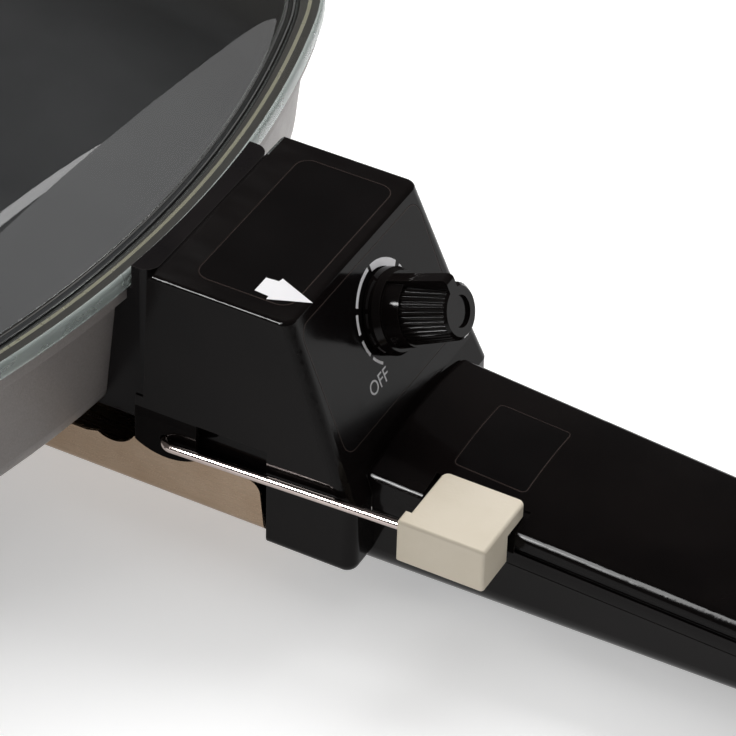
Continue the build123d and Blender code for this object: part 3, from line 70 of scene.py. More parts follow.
# ---------------------------------------------------------------------------
# Shader board
# ---------------------------------------------------------------------------
class ShaderBoard:
    """One material's node tree with a single surface shader."""

    def __init__(self, name: str) -> None:
        """Start an empty board.

        Args:
            name: the material's name.
        """
        self.material = bpy.data.materials.new(name)
        self.material.use_nodes = True
        self.tree = self.material.node_tree
        self.tree.nodes.clear()
        output = self.tree.nodes.new("ShaderNodeOutputMaterial")
        self.shader = self.tree.nodes.new("ShaderNodeBsdfPrincipled")
        self.tree.links.new(self.shader.outputs["BSDF"], output.inputs["Surface"])
        self.place = self.tree.nodes.new("ShaderNodeTexCoord").outputs["Object"]

    def node(self, kind: str, **settings: object) -> bpy.types.Node:
        """Add a node.

        Args:
            kind: the node's type name.
            settings: attributes to set on it.

        Returns:
            The new node.
        """
        made = self.tree.nodes.new(kind)
        for key, value in settings.items():
            setattr(made, key, value)
        return made

    def wire(self, source: object, target: bpy.types.NodeSocket) -> None:
        """Feed a socket with another socket or with a plain value.

        Args:
            source: an output socket, or a number, colour or vector.
            target: the input socket.
        """
        if isinstance(source, bpy.types.NodeSocket):
            self.tree.links.new(source, target)
        else:
            target.default_value = source

    def fixed(self, **values: object) -> None:
        """Set plain values on the shader's own sockets.

        Args:
            values: socket names with underscores for spaces.
        """
        for key, value in values.items():
            self.shader.inputs[key.replace("_", " ")].default_value = value

    def apart(self, vector: bpy.types.NodeSocket) -> dict[str, bpy.types.NodeSocket]:
        """Take a vector apart.

        Args:
            vector: the vector.

        Returns:
            Its three parts, under X, Y and Z.
        """
        split = self.node("ShaderNodeSeparateXYZ")
        self.wire(vector, split.inputs["Vector"])
        return {axis: split.outputs[axis] for axis in "XYZ"}

    def stretched(self, scale: Sequence[float], turn: Sequence[float] = (0, 0, 0)) -> bpy.types.NodeSocket:
        """Return coordinates scaled along each axis.

        Args:
            scale: factors along X, Y and Z.
            turn: angles in degrees.

        Returns:
            The mapped vector.
        """
        mapping = self.node("ShaderNodeMapping")
        mapping.inputs["Scale"].default_value = tuple(scale)
        mapping.inputs["Rotation"].default_value = tuple(math.radians(angle) for angle in turn)
        self.wire(self.place, mapping.inputs["Vector"])
        return mapping.outputs["Vector"]

    def noise(self, scale: float, detail: float = 3.0, rough: float = 0.5,
              at: bpy.types.NodeSocket | None = None) -> bpy.types.NodeSocket:
        """Add cloud noise.

        Args:
            scale: cycles per metre.
            detail: octaves.
            rough: weight of the fine octaves.
            at: coordinates, or the object's own.

        Returns:
            The noise value.
        """
        made = self.node("ShaderNodeTexNoise")
        made.inputs["Scale"].default_value = scale
        made.inputs["Detail"].default_value = detail
        made.inputs["Roughness"].default_value = rough
        self.wire(at or self.place, made.inputs["Vector"])
        return made.outputs["Fac"]

    def specks(self, scale: float, size: float) -> bpy.types.NodeSocket:
        """Add sparse dots with soft rims.

        Args:
            scale: cells per metre.
            size: radius of a dot as a share of its cell.

        Returns:
            One inside a dot, zero elsewhere.
        """
        cells = self.node("ShaderNodeTexVoronoi")
        cells.inputs["Scale"].default_value = scale
        self.wire(self.place, cells.inputs["Vector"])
        core = 0.4 * size
        return self.spread(cells.outputs["Distance"], size, core)

    def spread(self, value: bpy.types.NodeSocket, low: float, high: float, to_low: float = 0.0,
               to_high: float = 1.0) -> bpy.types.NodeSocket:
        """Map a value from one range to another, held at its ends.

        Args:
            value: the value.
            low: start of the range it comes from.
            high: end of that range.
            to_low: what the start becomes.
            to_high: what the end becomes.

        Returns:
            The mapped value.
        """
        made = self.node("ShaderNodeMapRange")
        for key, number in (("From Min", low), ("From Max", high), ("To Min", to_low), ("To Max", to_high)):
            made.inputs[key].default_value = number
        self.wire(value, made.inputs["Value"])
        return made.outputs["Result"]

    def maths(self, kind: str, one: object, two: object = 0.0) -> bpy.types.NodeSocket:
        """Combine two values.

        Args:
            kind: the operation.
            one: first socket or number.
            two: second socket or number.

        Returns:
            The result.
        """
        made = self.node("ShaderNodeMath", operation=kind)
        self.wire(one, made.inputs[0])
        self.wire(two, made.inputs[1])
        return made.outputs["Value"]

    def blend(self, share: bpy.types.NodeSocket, one: object, two: object) -> bpy.types.NodeSocket:
        """Mix two colours.

        Args:
            share: zero for the first, one for the second.
            one: first colour.
            two: second colour.

        Returns:
            The mixed colour.
        """
        made = self.node("ShaderNodeMix", data_type="RGBA")
        self.wire(share, made.inputs["Factor"])
        sides = [socket for socket in made.inputs if socket.type == "RGBA"]
        for colour, socket in zip((one, two), sides):
            self.wire(colour if isinstance(colour, bpy.types.NodeSocket) else (*colour, 1.0), socket)
        return next(socket for socket in made.outputs if socket.type == "RGBA")

    def edges(self, reach: float = 0.5 * MM) -> bpy.types.NodeSocket:
        """Return how near a point lies to a sharp edge.

        Args:
            reach: width of the worn strip in metres.

        Returns:
            Zero on flats, one on worn edges.
        """
        soft = self.node("ShaderNodeBevel", samples=4)
        soft.inputs["Radius"].default_value = reach
        turn = self.node("ShaderNodeVectorMath", operation="DOT_PRODUCT")
        self.wire(soft.outputs["Normal"], turn.inputs[0])
        self.wire(self.node("ShaderNodeNewGeometry").outputs["Normal"], turn.inputs[1])
        flat, worn = 0.995, 0.875
        return self.spread(turn.outputs["Value"], flat, worn)

    def relief(self, height: bpy.types.NodeSocket, depth: float) -> None:
        """Bump the surface.

        Args:
            height: the height pattern.
            depth: its depth in metres.
        """
        made = self.node("ShaderNodeBump")
        made.inputs["Strength"].default_value = 1.0
        made.inputs["Distance"].default_value = depth
        self.wire(height, made.inputs["Height"])
        self.wire(made.outputs["Normal"], self.shader.inputs["Normal"])

    def colour(self, source: object) -> None:
        """Feed the base colour."""
        self.wire(source, self.shader.inputs["Base Color"])

    def roughness(self, source: object) -> None:
        """Feed the roughness."""
        self.wire(source, self.shader.inputs["Roughness"])


# ---------------------------------------------------------------------------
# Finishes
# ---------------------------------------------------------------------------
@dataclass(frozen=True)
class Finish(ABC):
    """A finish that can be laid on a piece."""

    name: str

    @abstractmethod
    def make(self) -> bpy.types.Material:
        """Build the material.

        Returns:
            The material.
        """


@dataclass(frozen=True)
class Moulding(Finish):
    """Moulded plastic or rubber: colour clouds, fine skin, specks of dust and pale edges.

    Gloss holds the lowest and highest roughness. Level is the strength of the mirror image. Matt
    holds the two corners of a box, in metres, inside which the moulding mirrors almost nothing.
    """

    base: Colour
    cloud: Colour
    worn: Colour
    gloss: Point
    level: float = 0.5
    grain: float = 900.0
    depth: float = 0.02 * MM
    dust: float = 0.5
    wear: float = 0.6
    matt: tuple[Spot, Spot] | None = None
    matt_level: float = 0.02
    matt_rim: float = 0.2 * MM

    def make(self) -> bpy.types.Material:
        """Build the material.

        Returns:
            The material.
        """
        board = ShaderBoard(self.name)
        clouds = board.noise(scale=34.0, detail=4.0, rough=0.6)
        tone = board.blend(board.spread(clouds, 0.35, 0.7), self.base, self.cloud)
        drifts = board.spread(board.noise(scale=55.0, detail=2.0), 0.5, 0.7)
        dots = board.maths("MULTIPLY", board.specks(scale=420.0, size=0.07), drifts)
        tone = board.blend(board.maths("MULTIPLY", dots, self.dust), tone, self.worn)
        tone = board.blend(board.maths("MULTIPLY", board.edges(), self.wear), tone, self.worn)
        board.colour(tone)
        wiped = board.stretched(scale=(1.0, 2.4, 1.0), turn=(0, 0, 25))
        smear = board.noise(scale=60.0, detail=5.0, rough=0.65, at=wiped)
        board.roughness(board.spread(smear, 0.3, 0.72, *self.gloss))
        board.relief(board.noise(scale=self.grain, rough=0.6), self.depth)
        board.fixed(Specular_IOR_Level=self.level, IOR=INDEX)
        if self.matt is not None:
            level = board.spread(self.inside(board, *self.matt), 0.0, 1.0, self.level, self.matt_level)
            board.wire(level, board.shader.inputs["Specular IOR Level"])
        return board.material

    def inside(self, board: ShaderBoard, low: Spot, high: Spot) -> bpy.types.NodeSocket:
        """Find the part of the moulding that lies in a box.

        Args:
            board: the board to add nodes to.
            low: the box's lowest corner.
            high: the box's highest corner.

        Returns:
            One inside the box, zero elsewhere.
        """
        place = board.apart(board.place)
        found: object = 1.0
        for axis, start, end in zip("XYZ", low, high):
            middle, half = (start + end) / 2, (end - start) / 2
            away = board.maths("ABSOLUTE", board.maths("SUBTRACT", place[axis], middle))
            held = board.spread(away, half, half + self.matt_rim, 1.0, 0.0)
            found = board.maths("MULTIPLY", found, held)
        return found


@dataclass(frozen=True)
class PanCoat(Finish):
    """Two coats on cast metal: speckled non-stick inside, satin paint outside.

    Above the cove, where the floor turns up into the side, the inside is painted paler: painted light, as
    floor and side wear the one coat.
    """

    inside: Colour
    inside_cloud: Colour
    outside: Colour
    outside_cloud: Colour
    # Painted light: a paler copy of the inside colour, laid up the side above the cove.
    wall: Colour
    fleck: Colour = (0.12, 0.12, 0.12)
    fleck_share: float = 0.2
    worn: Colour = (0.30, 0.29, 0.28)
    wear: float = 0.3
    gloss: Point = (0.30, 0.42)
    outside_rougher: float = 0.06
    inside_grain: float = 0.15
    depth: float = 0.04 * MM
    floor_top: float = 34.4 * MM
    under_fade: float = 0.5 * MM
    cove: float = 2.0 * MM
    # Height over which that painted light fades in.
    wall_fade: float = 11.0 * MM
    outside_band: Point = (6.0 * MM, 14.0 * MM)

    def make(self) -> bpy.types.Material:
        """Build the material.

        Returns:
            The material.
        """
        board = ShaderBoard(self.name)
        outward = self.outward(board)
        fine = board.noise(scale=1500.0, detail=2.0, rough=0.7)
        clouds = board.noise(scale=26.0, detail=4.0, rough=0.55)
        inner = board.blend(board.spread(clouds, 0.3, 0.7), self.inside, self.inside_cloud)
        # Painted light: the inside blends to the paler colour going up the side from the cove.
        foot = self.floor_top + self.cove
        painted_light_share = board.spread(board.apart(board.place)["Z"], foot, foot + self.wall_fade)
        inner = board.blend(painted_light_share, inner, self.wall)
        flecks = board.maths("MULTIPLY", board.specks(scale=520.0, size=0.12), self.fleck_share)
        inner = board.blend(flecks, inner, self.fleck)
        outer = board.blend(board.spread(fine, 0.3, 0.7), self.outside, self.outside_cloud)
        tone = board.blend(outward, inner, outer)
        board.colour(board.blend(board.maths("MULTIPLY", board.edges(), self.wear), tone, self.worn))
        marks = board.spread(board.noise(scale=90.0, detail=4.0, rough=0.6), 0.3, 0.7, *self.gloss)
        board.roughness(board.maths("ADD", marks, board.maths("MULTIPLY", outward, self.outside_rougher)))
        skin = board.maths("ADD", fine, board.noise(scale=420.0, rough=0.6))
        share = board.maths("ADD", outward, self.inside_grain)
        board.relief(board.maths("MULTIPLY", skin, share), self.depth)
        board.fixed(Specular_IOR_Level=0.5, IOR=INDEX)
        return board.material

    def outward(self, board: ShaderBoard) -> bpy.types.NodeSocket:
        """Find the outer surface.

        Args:
            board: the board to add nodes to.

        Returns:
            One on the outside and the underside, zero inside.
        """
        place = board.apart(board.place)
        facing = board.apart(board.node("ShaderNodeTexCoord").outputs["Normal"])
        from_middle = board.maths("SUBTRACT", place["X"], PAN_X * MM)
        away_x = board.maths("MULTIPLY", from_middle, facing["X"])
        away_y = board.maths("MULTIPLY", place["Y"], facing["Y"])
        away = board.spread(board.maths("ADD", away_x, away_y), *self.outside_band)
        under = board.spread(place["Z"], self.floor_top, self.floor_top - self.under_fade)
        return board.maths("MAXIMUM", away, under)


@dataclass(frozen=True)
class Metal(Finish):
    """Metal with brushed or drawn lines, clouds of tarnish and bright edges.

    Gloss holds the lowest and highest roughness. Lines holds the drawn pattern's cycles per metre.
    """

    base: Colour
    tarnish: Colour
    gloss: Point
    lines: Spot = (40.0, 900.0, 900.0)
    line_depth: float = 0.012 * MM
    tarnish_share: float = 0.5
    line_shade: float = 0.8
    line_share: float = 0.35
    edge_shine: float = 1.15
    edge_share: float = 0.5

    def make(self) -> bpy.types.Material:
        """Build the material.

        Returns:
            The material.
        """
        board = ShaderBoard(self.name)
        clouds = board.noise(scale=45.0, detail=5.0, rough=0.6)
        tone = board.blend(board.spread(clouds, 0.42, 0.75, 0.0, self.tarnish_share), self.base, self.tarnish)
        lines = board.noise(scale=1.0, rough=0.7, at=board.stretched(self.lines))
        dark = tuple(self.line_shade * part for part in self.base)
        tone = board.blend(board.spread(lines, 0.55, 0.75, 0.0, self.line_share), tone, dark)
        bright = tuple(min(1.0, self.edge_shine * part) for part in self.base)
        board.colour(board.blend(board.maths("MULTIPLY", board.edges(), self.edge_share), tone, bright))
        board.roughness(board.spread(lines, 0.3, 0.7, *self.gloss))
        board.relief(lines, self.line_depth)
        board.fixed(Metallic=1.0)
        return board.material


@dataclass(frozen=True)
class Glass(Finish):
    """Clear or ground glass with faint smears; gloss holds the lowest and highest roughness."""

    tint: Colour
    gloss: Point
    transmission: float = 1.0
    ripple: float = 0.004 * MM
    grain: float = 60.0
    smear_pale: float = 1.04

    def make(self) -> bpy.types.Material:
        """Build the material.

        Returns:
            The material.
        """
        board = ShaderBoard(self.name)
        smear = board.noise(scale=38.0, detail=5.0, rough=0.6)
        pale = tuple(min(1.0, part * self.smear_pale) for part in self.tint)
        board.colour(board.blend(board.spread(smear, 0.35, 0.7), self.tint, pale))
        board.roughness(board.spread(smear, 0.4, 0.8, *self.gloss))
        board.relief(board.noise(scale=self.grain, rough=0.55), self.ripple)
        board.fixed(Transmission_Weight=self.transmission, IOR=INDEX)
        return board.material


@dataclass(frozen=True)
class Backdrop(Finish):
    """Matt white paper with a weak glow of its own, which keeps the shadows soft."""

    base: Colour = (0.80, 0.80, 0.80)
    cloud: Colour = (0.82, 0.82, 0.82)
    gloss: Point = (0.6, 0.7)
    level: float = 0.2
    glow: float = 0.40

    def make(self) -> bpy.types.Material:
        """Build the material.

        Returns:
            The material.
        """
        board = ShaderBoard(self.name)
        board.colour(board.blend(board.noise(scale=3.0), self.base, self.cloud))
        board.roughness(board.spread(board.noise(scale=5.0), 0.3, 0.7, *self.gloss))
        board.fixed(Specular_IOR_Level=self.level)
        board.fixed(Emission_Color=(1.0, 1.0, 1.0, 1.0), Emission_Strength=self.glow)
        return board.material


class Slot(Enum):
    """Finish of each material slot in the record."""

    # The pan coat's paler side colour is painted light, a lit copy of the inside coat.
    COATED_ALUMINIUM = PanCoat(
        "pan_coat", inside=(0.024, 0.0245, 0.026), inside_cloud=(0.036, 0.036, 0.038),
        outside=(0.185, 0.168, 0.160), outside_cloud=(0.225, 0.205, 0.196), wall=(0.050, 0.047, 0.043))
    ELEMENT_SHEATH = Metal(
        "element_sheath_skin", (0.30, 0.28, 0.27), (0.10, 0.08, 0.09), (0.38, 0.55),
        lines=(400.0, 400.0, 400.0))
    PLATED_PIN = Metal(
        "nickel_plate", (0.80, 0.78, 0.74), (0.62, 0.56, 0.48), (0.12, 0.24))
    CERAMIC = Moulding(
        "glazed_ceramic", (0.80, 0.78, 0.73), (0.72, 0.69, 0.62), (0.62, 0.57, 0.48), (0.18, 0.35))
    PHENOLIC = Moulding(
        "phenolic_moulding", (0.0060, 0.0052, 0.0056), (0.0100, 0.0085, 0.0086), (0.050, 0.044, 0.042),
        (0.16, 0.26), level=0.10, grain=700.0, depth=0.01 * MM, dust=0.10, wear=0.3)
    ZINC_STEEL = Metal(
        "zinc_plate", (0.62, 0.63, 0.64), (0.48, 0.46, 0.40), (0.28, 0.45), lines=(300.0, 300.0, 300.0))
    FOOT_RUBBER = Moulding(
        "foot_rubber_skin", (0.018, 0.018, 0.019), (0.028, 0.027, 0.027), (0.10, 0.10, 0.10),
        (0.55, 0.75), level=0.35, grain=1300.0, depth=0.06 * MM, dust=0.7)
    STAINLESS_SHEET = Metal(
        "brushed_stainless", (0.40, 0.300, 0.215), (0.30, 0.205, 0.130), (0.20, 0.34))
    LID_GLASS = Glass(
        "clear_glass", (0.955, 0.985, 0.972), (0.0, 0.02))
    BRASS = Metal(
        "machined_brass", (0.78, 0.60, 0.30), (0.50, 0.34, 0.16), (0.2, 0.35), lines=(500.0, 500.0, 500.0))
    SILICONE = Moulding(
        "grey_silicone", (0.36, 0.36, 0.37), (0.42, 0.42, 0.42), (0.5, 0.5, 0.5), (0.5, 0.65))
    BLACK_MOULDING = Moulding(
        "gloss_black_moulding", (0.0030, 0.0023, 0.0023), (0.0052, 0.0040, 0.0038), (0.030, 0.026, 0.024),
        (0.08, 0.14), level=0.115, grain=620.0, depth=0.008 * MM, dust=0.05, wear=0.2,
        matt=((0.0585, -0.0385, 0.020), (0.0850, -0.0325, 0.0455)))
    TRIM_PLATE = Moulding(
        "printed_trim_plate", (0.0032, 0.0027, 0.0027), (0.0050, 0.0042, 0.0042), (0.075, 0.055, 0.050),
        (0.12, 0.18), level=0.10, grain=1500.0, depth=0.005 * MM, dust=0.04, wear=0.9)
    COPPER = Metal(
        "drawn_copper", (0.72, 0.38, 0.24), (0.42, 0.22, 0.14), (0.22, 0.4))
    LEAD_BROWN = Moulding(
        "brown_sleeve", (0.16, 0.07, 0.035), (0.20, 0.09, 0.045), (0.3, 0.2, 0.15), (0.45, 0.6))
    LEAD_BLUE = Moulding(
        "blue_sleeve", (0.035, 0.09, 0.25), (0.05, 0.12, 0.30), (0.25, 0.3, 0.4), (0.45, 0.6))
    NYLON = Moulding(
        "natural_nylon", (0.70, 0.68, 0.60), (0.76, 0.74, 0.67), (0.8, 0.78, 0.72), (0.35, 0.5))
    CHROMED_WIRE = Metal(
        "bright_chrome", (0.58, 0.50, 0.47), (0.36, 0.28, 0.26), (0.05, 0.12),
        lines=(60.0, 1200.0, 1200.0), line_depth=0.003 * MM, tarnish_share=0.3)
    CREAM_MOULDING = Moulding(
        "cream_plastic", (0.640, 0.575, 0.470), (0.590, 0.525, 0.415), (0.74, 0.69, 0.59),
        (0.36, 0.50), level=0.35, grain=1100.0, depth=0.03 * MM, dust=0.15, wear=0.4)


GROUND_GLASS = Glass(
    "ground_glass_edge", (0.80, 0.90, 0.86), (0.22, 0.40), transmission=0.72, ripple=0.04 * MM, grain=420.0)
# Painted reflection: an olive, half-clear band laid in the flat flange a few millimetres in from the edge.
PAINTED_REFLECTION_BAND = Glass(
    "painted_reflection_glass_band", (0.42, 0.41, 0.30), (0.20, 0.38), transmission=0.60, ripple=0.04 * MM, grain=420.0)
WHITE_INK = Moulding(
    "white_ink", (0.80, 0.79, 0.80), (0.72, 0.71, 0.73), (0.62, 0.61, 0.62), (0.32, 0.5))


class Palette:
    """Every finish, built once."""

    def __init__(self) -> None:
        """Start with no material built."""
        self.made: dict[str, bpy.types.Material] = {}

    def get(self, finish: Finish) -> bpy.types.Material:
        """Return a finish's material.

        Args:
            finish: the finish.

        Returns:
            Its material.
        """
        if finish.name not in self.made:
            self.made[finish.name] = finish.make()
        return self.made[finish.name]

    def dress_frame(self) -> None:
        """Lay the slot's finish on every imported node."""
        slots = {row["node"]: row["material_slot"] for row in frame["record"]["subparts"]}
        for node, piece in frame["nodes"].items():
            finish = Slot[slots[node].upper()].value
            piece.data.materials.clear()
            piece.data.materials.append(self.get(finish))
            log.info("node %s wears %s", node, finish.name)


# ---------------------------------------------------------------------------
# Mesh helpers
# ---------------------------------------------------------------------------
def fit(x: float, y: float, z: float) -> Vector:
    """Return a point given in millimetres from the pan's centre, in the frame's metres."""
    return Vector(((x + PAN_X) * MM, y * MM, z * MM))


def join_mesh(name: str, corners: Iterable[Vector], faces: Iterable[Sequence[int]],
              marks: Sequence[int] | None = None, smooth: bool = False) -> bpy.types.Object:
    """Make a mesh object.

    Args:
        name: its name.
        corners: corner points in the frame.
        faces: corner numbers of each face.
        marks: material number of each face.
        smooth: whether faces are shaded smooth.

    Returns:
        The new object.
    """
    mesh = bpy.data.meshes.new(name)
    mesh.from_pydata([tuple(corner) for corner in corners], [], [tuple(face) for face in faces])
    mesh.update()
    for number, polygon in enumerate(mesh.polygons):
        polygon.use_smooth = smooth
        if marks is not None:
            polygon.material_index = marks[number]
    made = bpy.data.objects.new(name, mesh)
    bpy.context.scene.collection.objects.link(made)
    return made


def slab(name: str, under: Sequence[Vector], over: Sequence[Vector]) -> bpy.types.Object:
    """Make a closed piece between two outlines.

    Args:
        name: its name.
        under: the lower outline's corners, in order.
        over: the upper outline's corners, in the same order.

    Returns:
        The piece.
    """
    count = len(under)
    faces: list[tuple[int, ...]] = [tuple(range(count, 2 * count)), tuple(reversed(range(count)))]
    for step in range(count):
        after = (step + 1) % count
        faces.append((step, after, count + after, count + step))
    return join_mesh(name, [*under, *over], faces)


def bake(piece: bpy.types.Object) -> None:
    """Turn a piece's modifiers into its mesh.

    Args:
        piece: the piece.
    """
    bpy.context.view_layer.update()
    graph = bpy.context.evaluated_depsgraph_get()
    mesh = bpy.data.meshes.new_from_object(piece.evaluated_get(graph))
    piece.modifiers.clear()
    old = piece.data
    piece.data = mesh
    bpy.data.meshes.remove(old)


def settle(piece: bpy.types.Object, body: Body, slot: Slot, *materials: bpy.types.Material) -> None:
    """Dress a piece and tie it to its body.

    Args:
        piece: the piece.
        body: the body it rides on.
        slot: the record's slot that its finish comes from; not used.
        materials: its materials in order.
    """
    for material in materials:
        piece.data.materials.append(material)
    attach(piece, body.value)
    log.info("piece %s rides on %s", piece.name, body.value)


@dataclass
class BowedSquare:
    """A square outline with bowed sides and round corners, in millimetres."""

    half: float
    side: float
    corner: float

    def points(self, side_steps: int, corner_steps: int) -> list[Point]:
        """Walk once round the outline.

        Args:
            side_steps: steps along each side.
            corner_steps: steps round each corner.

        Returns:
            Points, anticlockwise from the low end of the +X side.
        """
        offset = self.side - self.half
        reach = self.side - self.corner
        at = (math.sqrt(2 * reach**2 - offset**2) - offset) / 2
        turn = math.atan2(at, at + offset)
        quarter: list[Point] = []
        for step in range(side_steps):
            angle = -turn + 2 * turn * step / side_steps
            quarter.append((self.side * math.cos(angle) - offset, self.side * math.sin(angle)))
        for step in range(corner_steps):
            angle = turn + (math.pi / 2 - 2 * turn) * step / corner_steps
            quarter.append((at + self.corner * math.cos(angle), at + self.corner * math.sin(angle)))
        walk: list[Point] = []
        for c, s in ((1, 0), (0, 1), (-1, 0), (0, -1)):
            walk.extend((c * x - s * y, s * x + c * y) for x, y in quarter)
        return walk


# ---------------------------------------------------------------------------
# Sub-assemblies
# ---------------------------------------------------------------------------
class Skin(IntEnum):
    """The lid's materials, in the order of its material slots."""

    CLEAR = 0
    GROUND = 1
    # The olive band in the flange, a painted reflection.
    PRESSED = 2


Ring = tuple[BowedSquare, float, Skin]


@dataclass
class LidGlass:
    """Pressed glass lid: ground outer edge, flat flange, locating bead, dome and two holes.

    All lengths are in millimetres, and an inset is measured inward from the lid's outline. Each
    pair in foot is an inset and a height above the lid's underside.
    """

    half: float = 152.5
    side: float = 312.0
    corner: float = 75.0
    under: float = 77.3
    glass: float = 4.7
    foot: tuple[Point, ...] = ((0.5, 0.0), (0.12, 0.15), (0.0, 0.5), (0.0, 1.8))
    edge_round: float = 1.645
    edge_steps: int = 6
    flange_insets: tuple[float, ...] = (2.4, 3.4, 4.4, 5.6, 6.6)
    # Insets at which the flange wears the olive band, a painted reflection.
    pressed_insets: tuple[float, ...] = (3.4, 4.4)
    fillet_inset: float = 7.4
    fillet_lifts: Point = (0.05, 0.14)
    flange: float = 8.0
    rise: float = 22.0
    power: float = 2.2
    square_power: float = 1.5
    step_power: float = 1.3
    crown: float = 20.0
    slack: float = 1.0
    dome_steps: int = 34
    bead_out: float = 8.48
    bead_in: float = 11.48
    bead_depth: float = 2.6
    bead_half: float = 1.5
    bead_round: float = 1.1
    bead_steps: int = 4
    bead_flare: float = 0.3
    bead_shoulders: Point = (0.3, 0.4)
    under_insets: tuple[float, ...] = (6.0, 4.0, 2.0)
    hole: float = 4.0
    vent_x: float = -72.0
    drill_level: float = 100.0
    drill_length: float = 60.0
    drill_sides: int = 48
    side_steps: int = 26
    corner_steps: int = 26

    def outline(self, inset: float) -> BowedSquare:
        """Return the edge's outline moved inward."""
        return BowedSquare(self.half - inset, self.side - inset, self.corner - inset)

    def section(self, step: int, depth: float) -> tuple[BowedSquare, float]:
        """Return the dome's outline and height part of the way up.

        Args:
            step: zero at the dome's foot, the last at its crown.
            depth: how far below the outer skin.

        Returns:
            The outline and its height.
        """
        share = (step / self.dome_steps) ** self.step_power
        height = self.under + self.glass - depth + self.rise * (1 - (1 - share) ** self.power)
        inset = self.flange + depth + (self.half - self.flange - depth - self.crown) * share
        squareness = (1 - share) ** self.square_power
        half = self.half - inset
        side = half + self.slack + (self.side - self.half) * squareness
        corner = half - self.slack - (self.half - self.corner) * squareness * half / self.half
        return BowedSquare(half, side, corner), height

    def outer_rings(self) -> list[Ring]:
        """Return rings from the bottom of the edge to the crown.

        Returns:
            Each ring's outline, height and skin.
        """
        top = self.under + self.glass
        rings: list[Ring] = [(self.outline(inset), self.under + up, Skin.GROUND) for inset, up in self.foot]
        for step in range(self.edge_steps + 1):
            angle = math.pi / 2 * step / self.edge_steps
            inset = self.edge_round * (1 - math.cos(angle))
            height = top - self.edge_round * (1 - math.sin(angle))
            rings.append((self.outline(inset), height, Skin.GROUND if step < self.edge_steps else Skin.CLEAR))
        for inset in self.flange_insets:
            # Flange rings at those insets take the olive band, a painted reflection.
            skin = Skin.PRESSED if inset in self.pressed_insets else Skin.CLEAR
            rings.append((self.outline(inset), top, skin))
        rings.append((self.outline(self.fillet_inset), top + self.fillet_lifts[0], Skin.CLEAR))
        for step in range(self.dome_steps + 1):
            shape, height = self.section(step, 0.0)
            lift = self.fillet_lifts[1] if step == 0 else 0.0
            rings.append((shape, height + lift, Skin.CLEAR))
        return rings

    def inner_rings(self) -> list[Ring]:
        """Return rings from the crown's underside to the bottom of the edge.

        Returns:
            Each ring's outline, height and skin.
        """
        rings = [self.section(step, self.glass) for step in range(self.dome_steps, -1, -1)]
        out_shoulder, in_shoulder = self.bead_shoulders
        rings.append((self.outline(self.bead_in + self.bead_flare), self.under))
        rings.append((self.outline(self.bead_in), self.under - in_shoulder))
        middle = (self.bead_out + self.bead_in) / 2
        low = self.under - self.bead_depth
        for step in range(self.bead_steps + 1):
            angle = math.pi * step / self.bead_steps
            height = low + self.bead_round - self.bead_round * math.sin(angle)
            rings.append((self.outline(middle + self.bead_half * math.cos(angle)), height))
        rings.append((self.outline(self.bead_out), self.under - out_shoulder))
        rings.append((self.outline(self.bead_out - self.bead_flare), self.under))
        rings.extend((self.outline(inset), self.under) for inset in self.under_insets)
        return [(shape, height, Skin.CLEAR) for shape, height in rings]

    def build(self) -> bpy.types.Object:
        """Build the glass.

        Returns:
            The lid with its holes cut.
        """
        outer = self.outer_rings()
        rings = outer + self.inner_rings()
        crown = len(outer) - 1
        around = 4 * (self.side_steps + self.corner_steps)
        corners: list[Vector] = []
        for shape, height, _ in rings:
            corners.extend(fit(x, y, height) for x, y in shape.points(self.side_steps, self.corner_steps))
        faces: list[tuple[int, ...]] = []
        marks: list[int] = []
        for row in range(len(rings)):
            if row == crown:
                continue
            following = (row + 1) % len(rings)
            below, above = row * around, following * around
            for step in range(around):
                after = (step + 1) % around
                faces.append((below + step, below + after, above + after, above + step))
                marks.append(min(rings[row][2], rings[following][2]))
        crown_out, crown_in = crown * around, (crown + 1) * around
        faces.append(tuple(crown_out + step for step in range(around)))
        faces.append(tuple(crown_in + step for step in reversed(range(around))))
        marks.extend((Skin.CLEAR, Skin.CLEAR))
        lid = join_mesh("lid_glass_pressing", corners, faces, marks, smooth=True)
        self.pierce(lid)
        return lid

    def pierce(self, lid: bpy.types.Object) -> None:
        """Cut the knob's hole and the vent's hole.

        Args:
            lid: the glass.
        """
        for name, x in (("knob", 0.0), ("vent", self.vent_x)):
            drill = bmesh.new()
            bmesh.ops.create_cone(drill, cap_ends=True, segments=self.drill_sides, radius1=self.hole * MM,
                                  radius2=self.hole * MM, depth=self.drill_length * MM,
                                  matrix=Matrix.Translation(fit(x, 0, self.drill_level)))
            mesh = bpy.data.meshes.new("drill_" + name)
            drill.to_mesh(mesh)
            drill.free()
            cutter = bpy.data.objects.new("drill_" + name, mesh)
            bpy.context.scene.collection.objects.link(cutter)
            cut = lid.modifiers.new("hole_" + name, "BOOLEAN")
            cut.operation = "DIFFERENCE"
            cut.solver = "EXACT"
            cut.object = cutter
            bake(lid)
            bpy.data.objects.remove(cutter)

    def dress(self, palette: Palette) -> bpy.types.Object:
        """Build the lid and lay its finishes.

        Args:
            palette: the finishes.

        Returns:
            The glass.
        """
        lid = self.build()
        # The olive band's finish is a painted reflection.
        finishes = {Skin.CLEAR: Slot.LID_GLASS.value, Skin.GROUND: GROUND_GLASS, Skin.PRESSED: PAINTED_REFLECTION_BAND}
        settle(lid, Body.LID, Slot.LID_GLASS, *(palette.get(finishes[skin]) for skin in Skin))
        lid.visible_shadow = False
        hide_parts("lid_glass")
        return lid


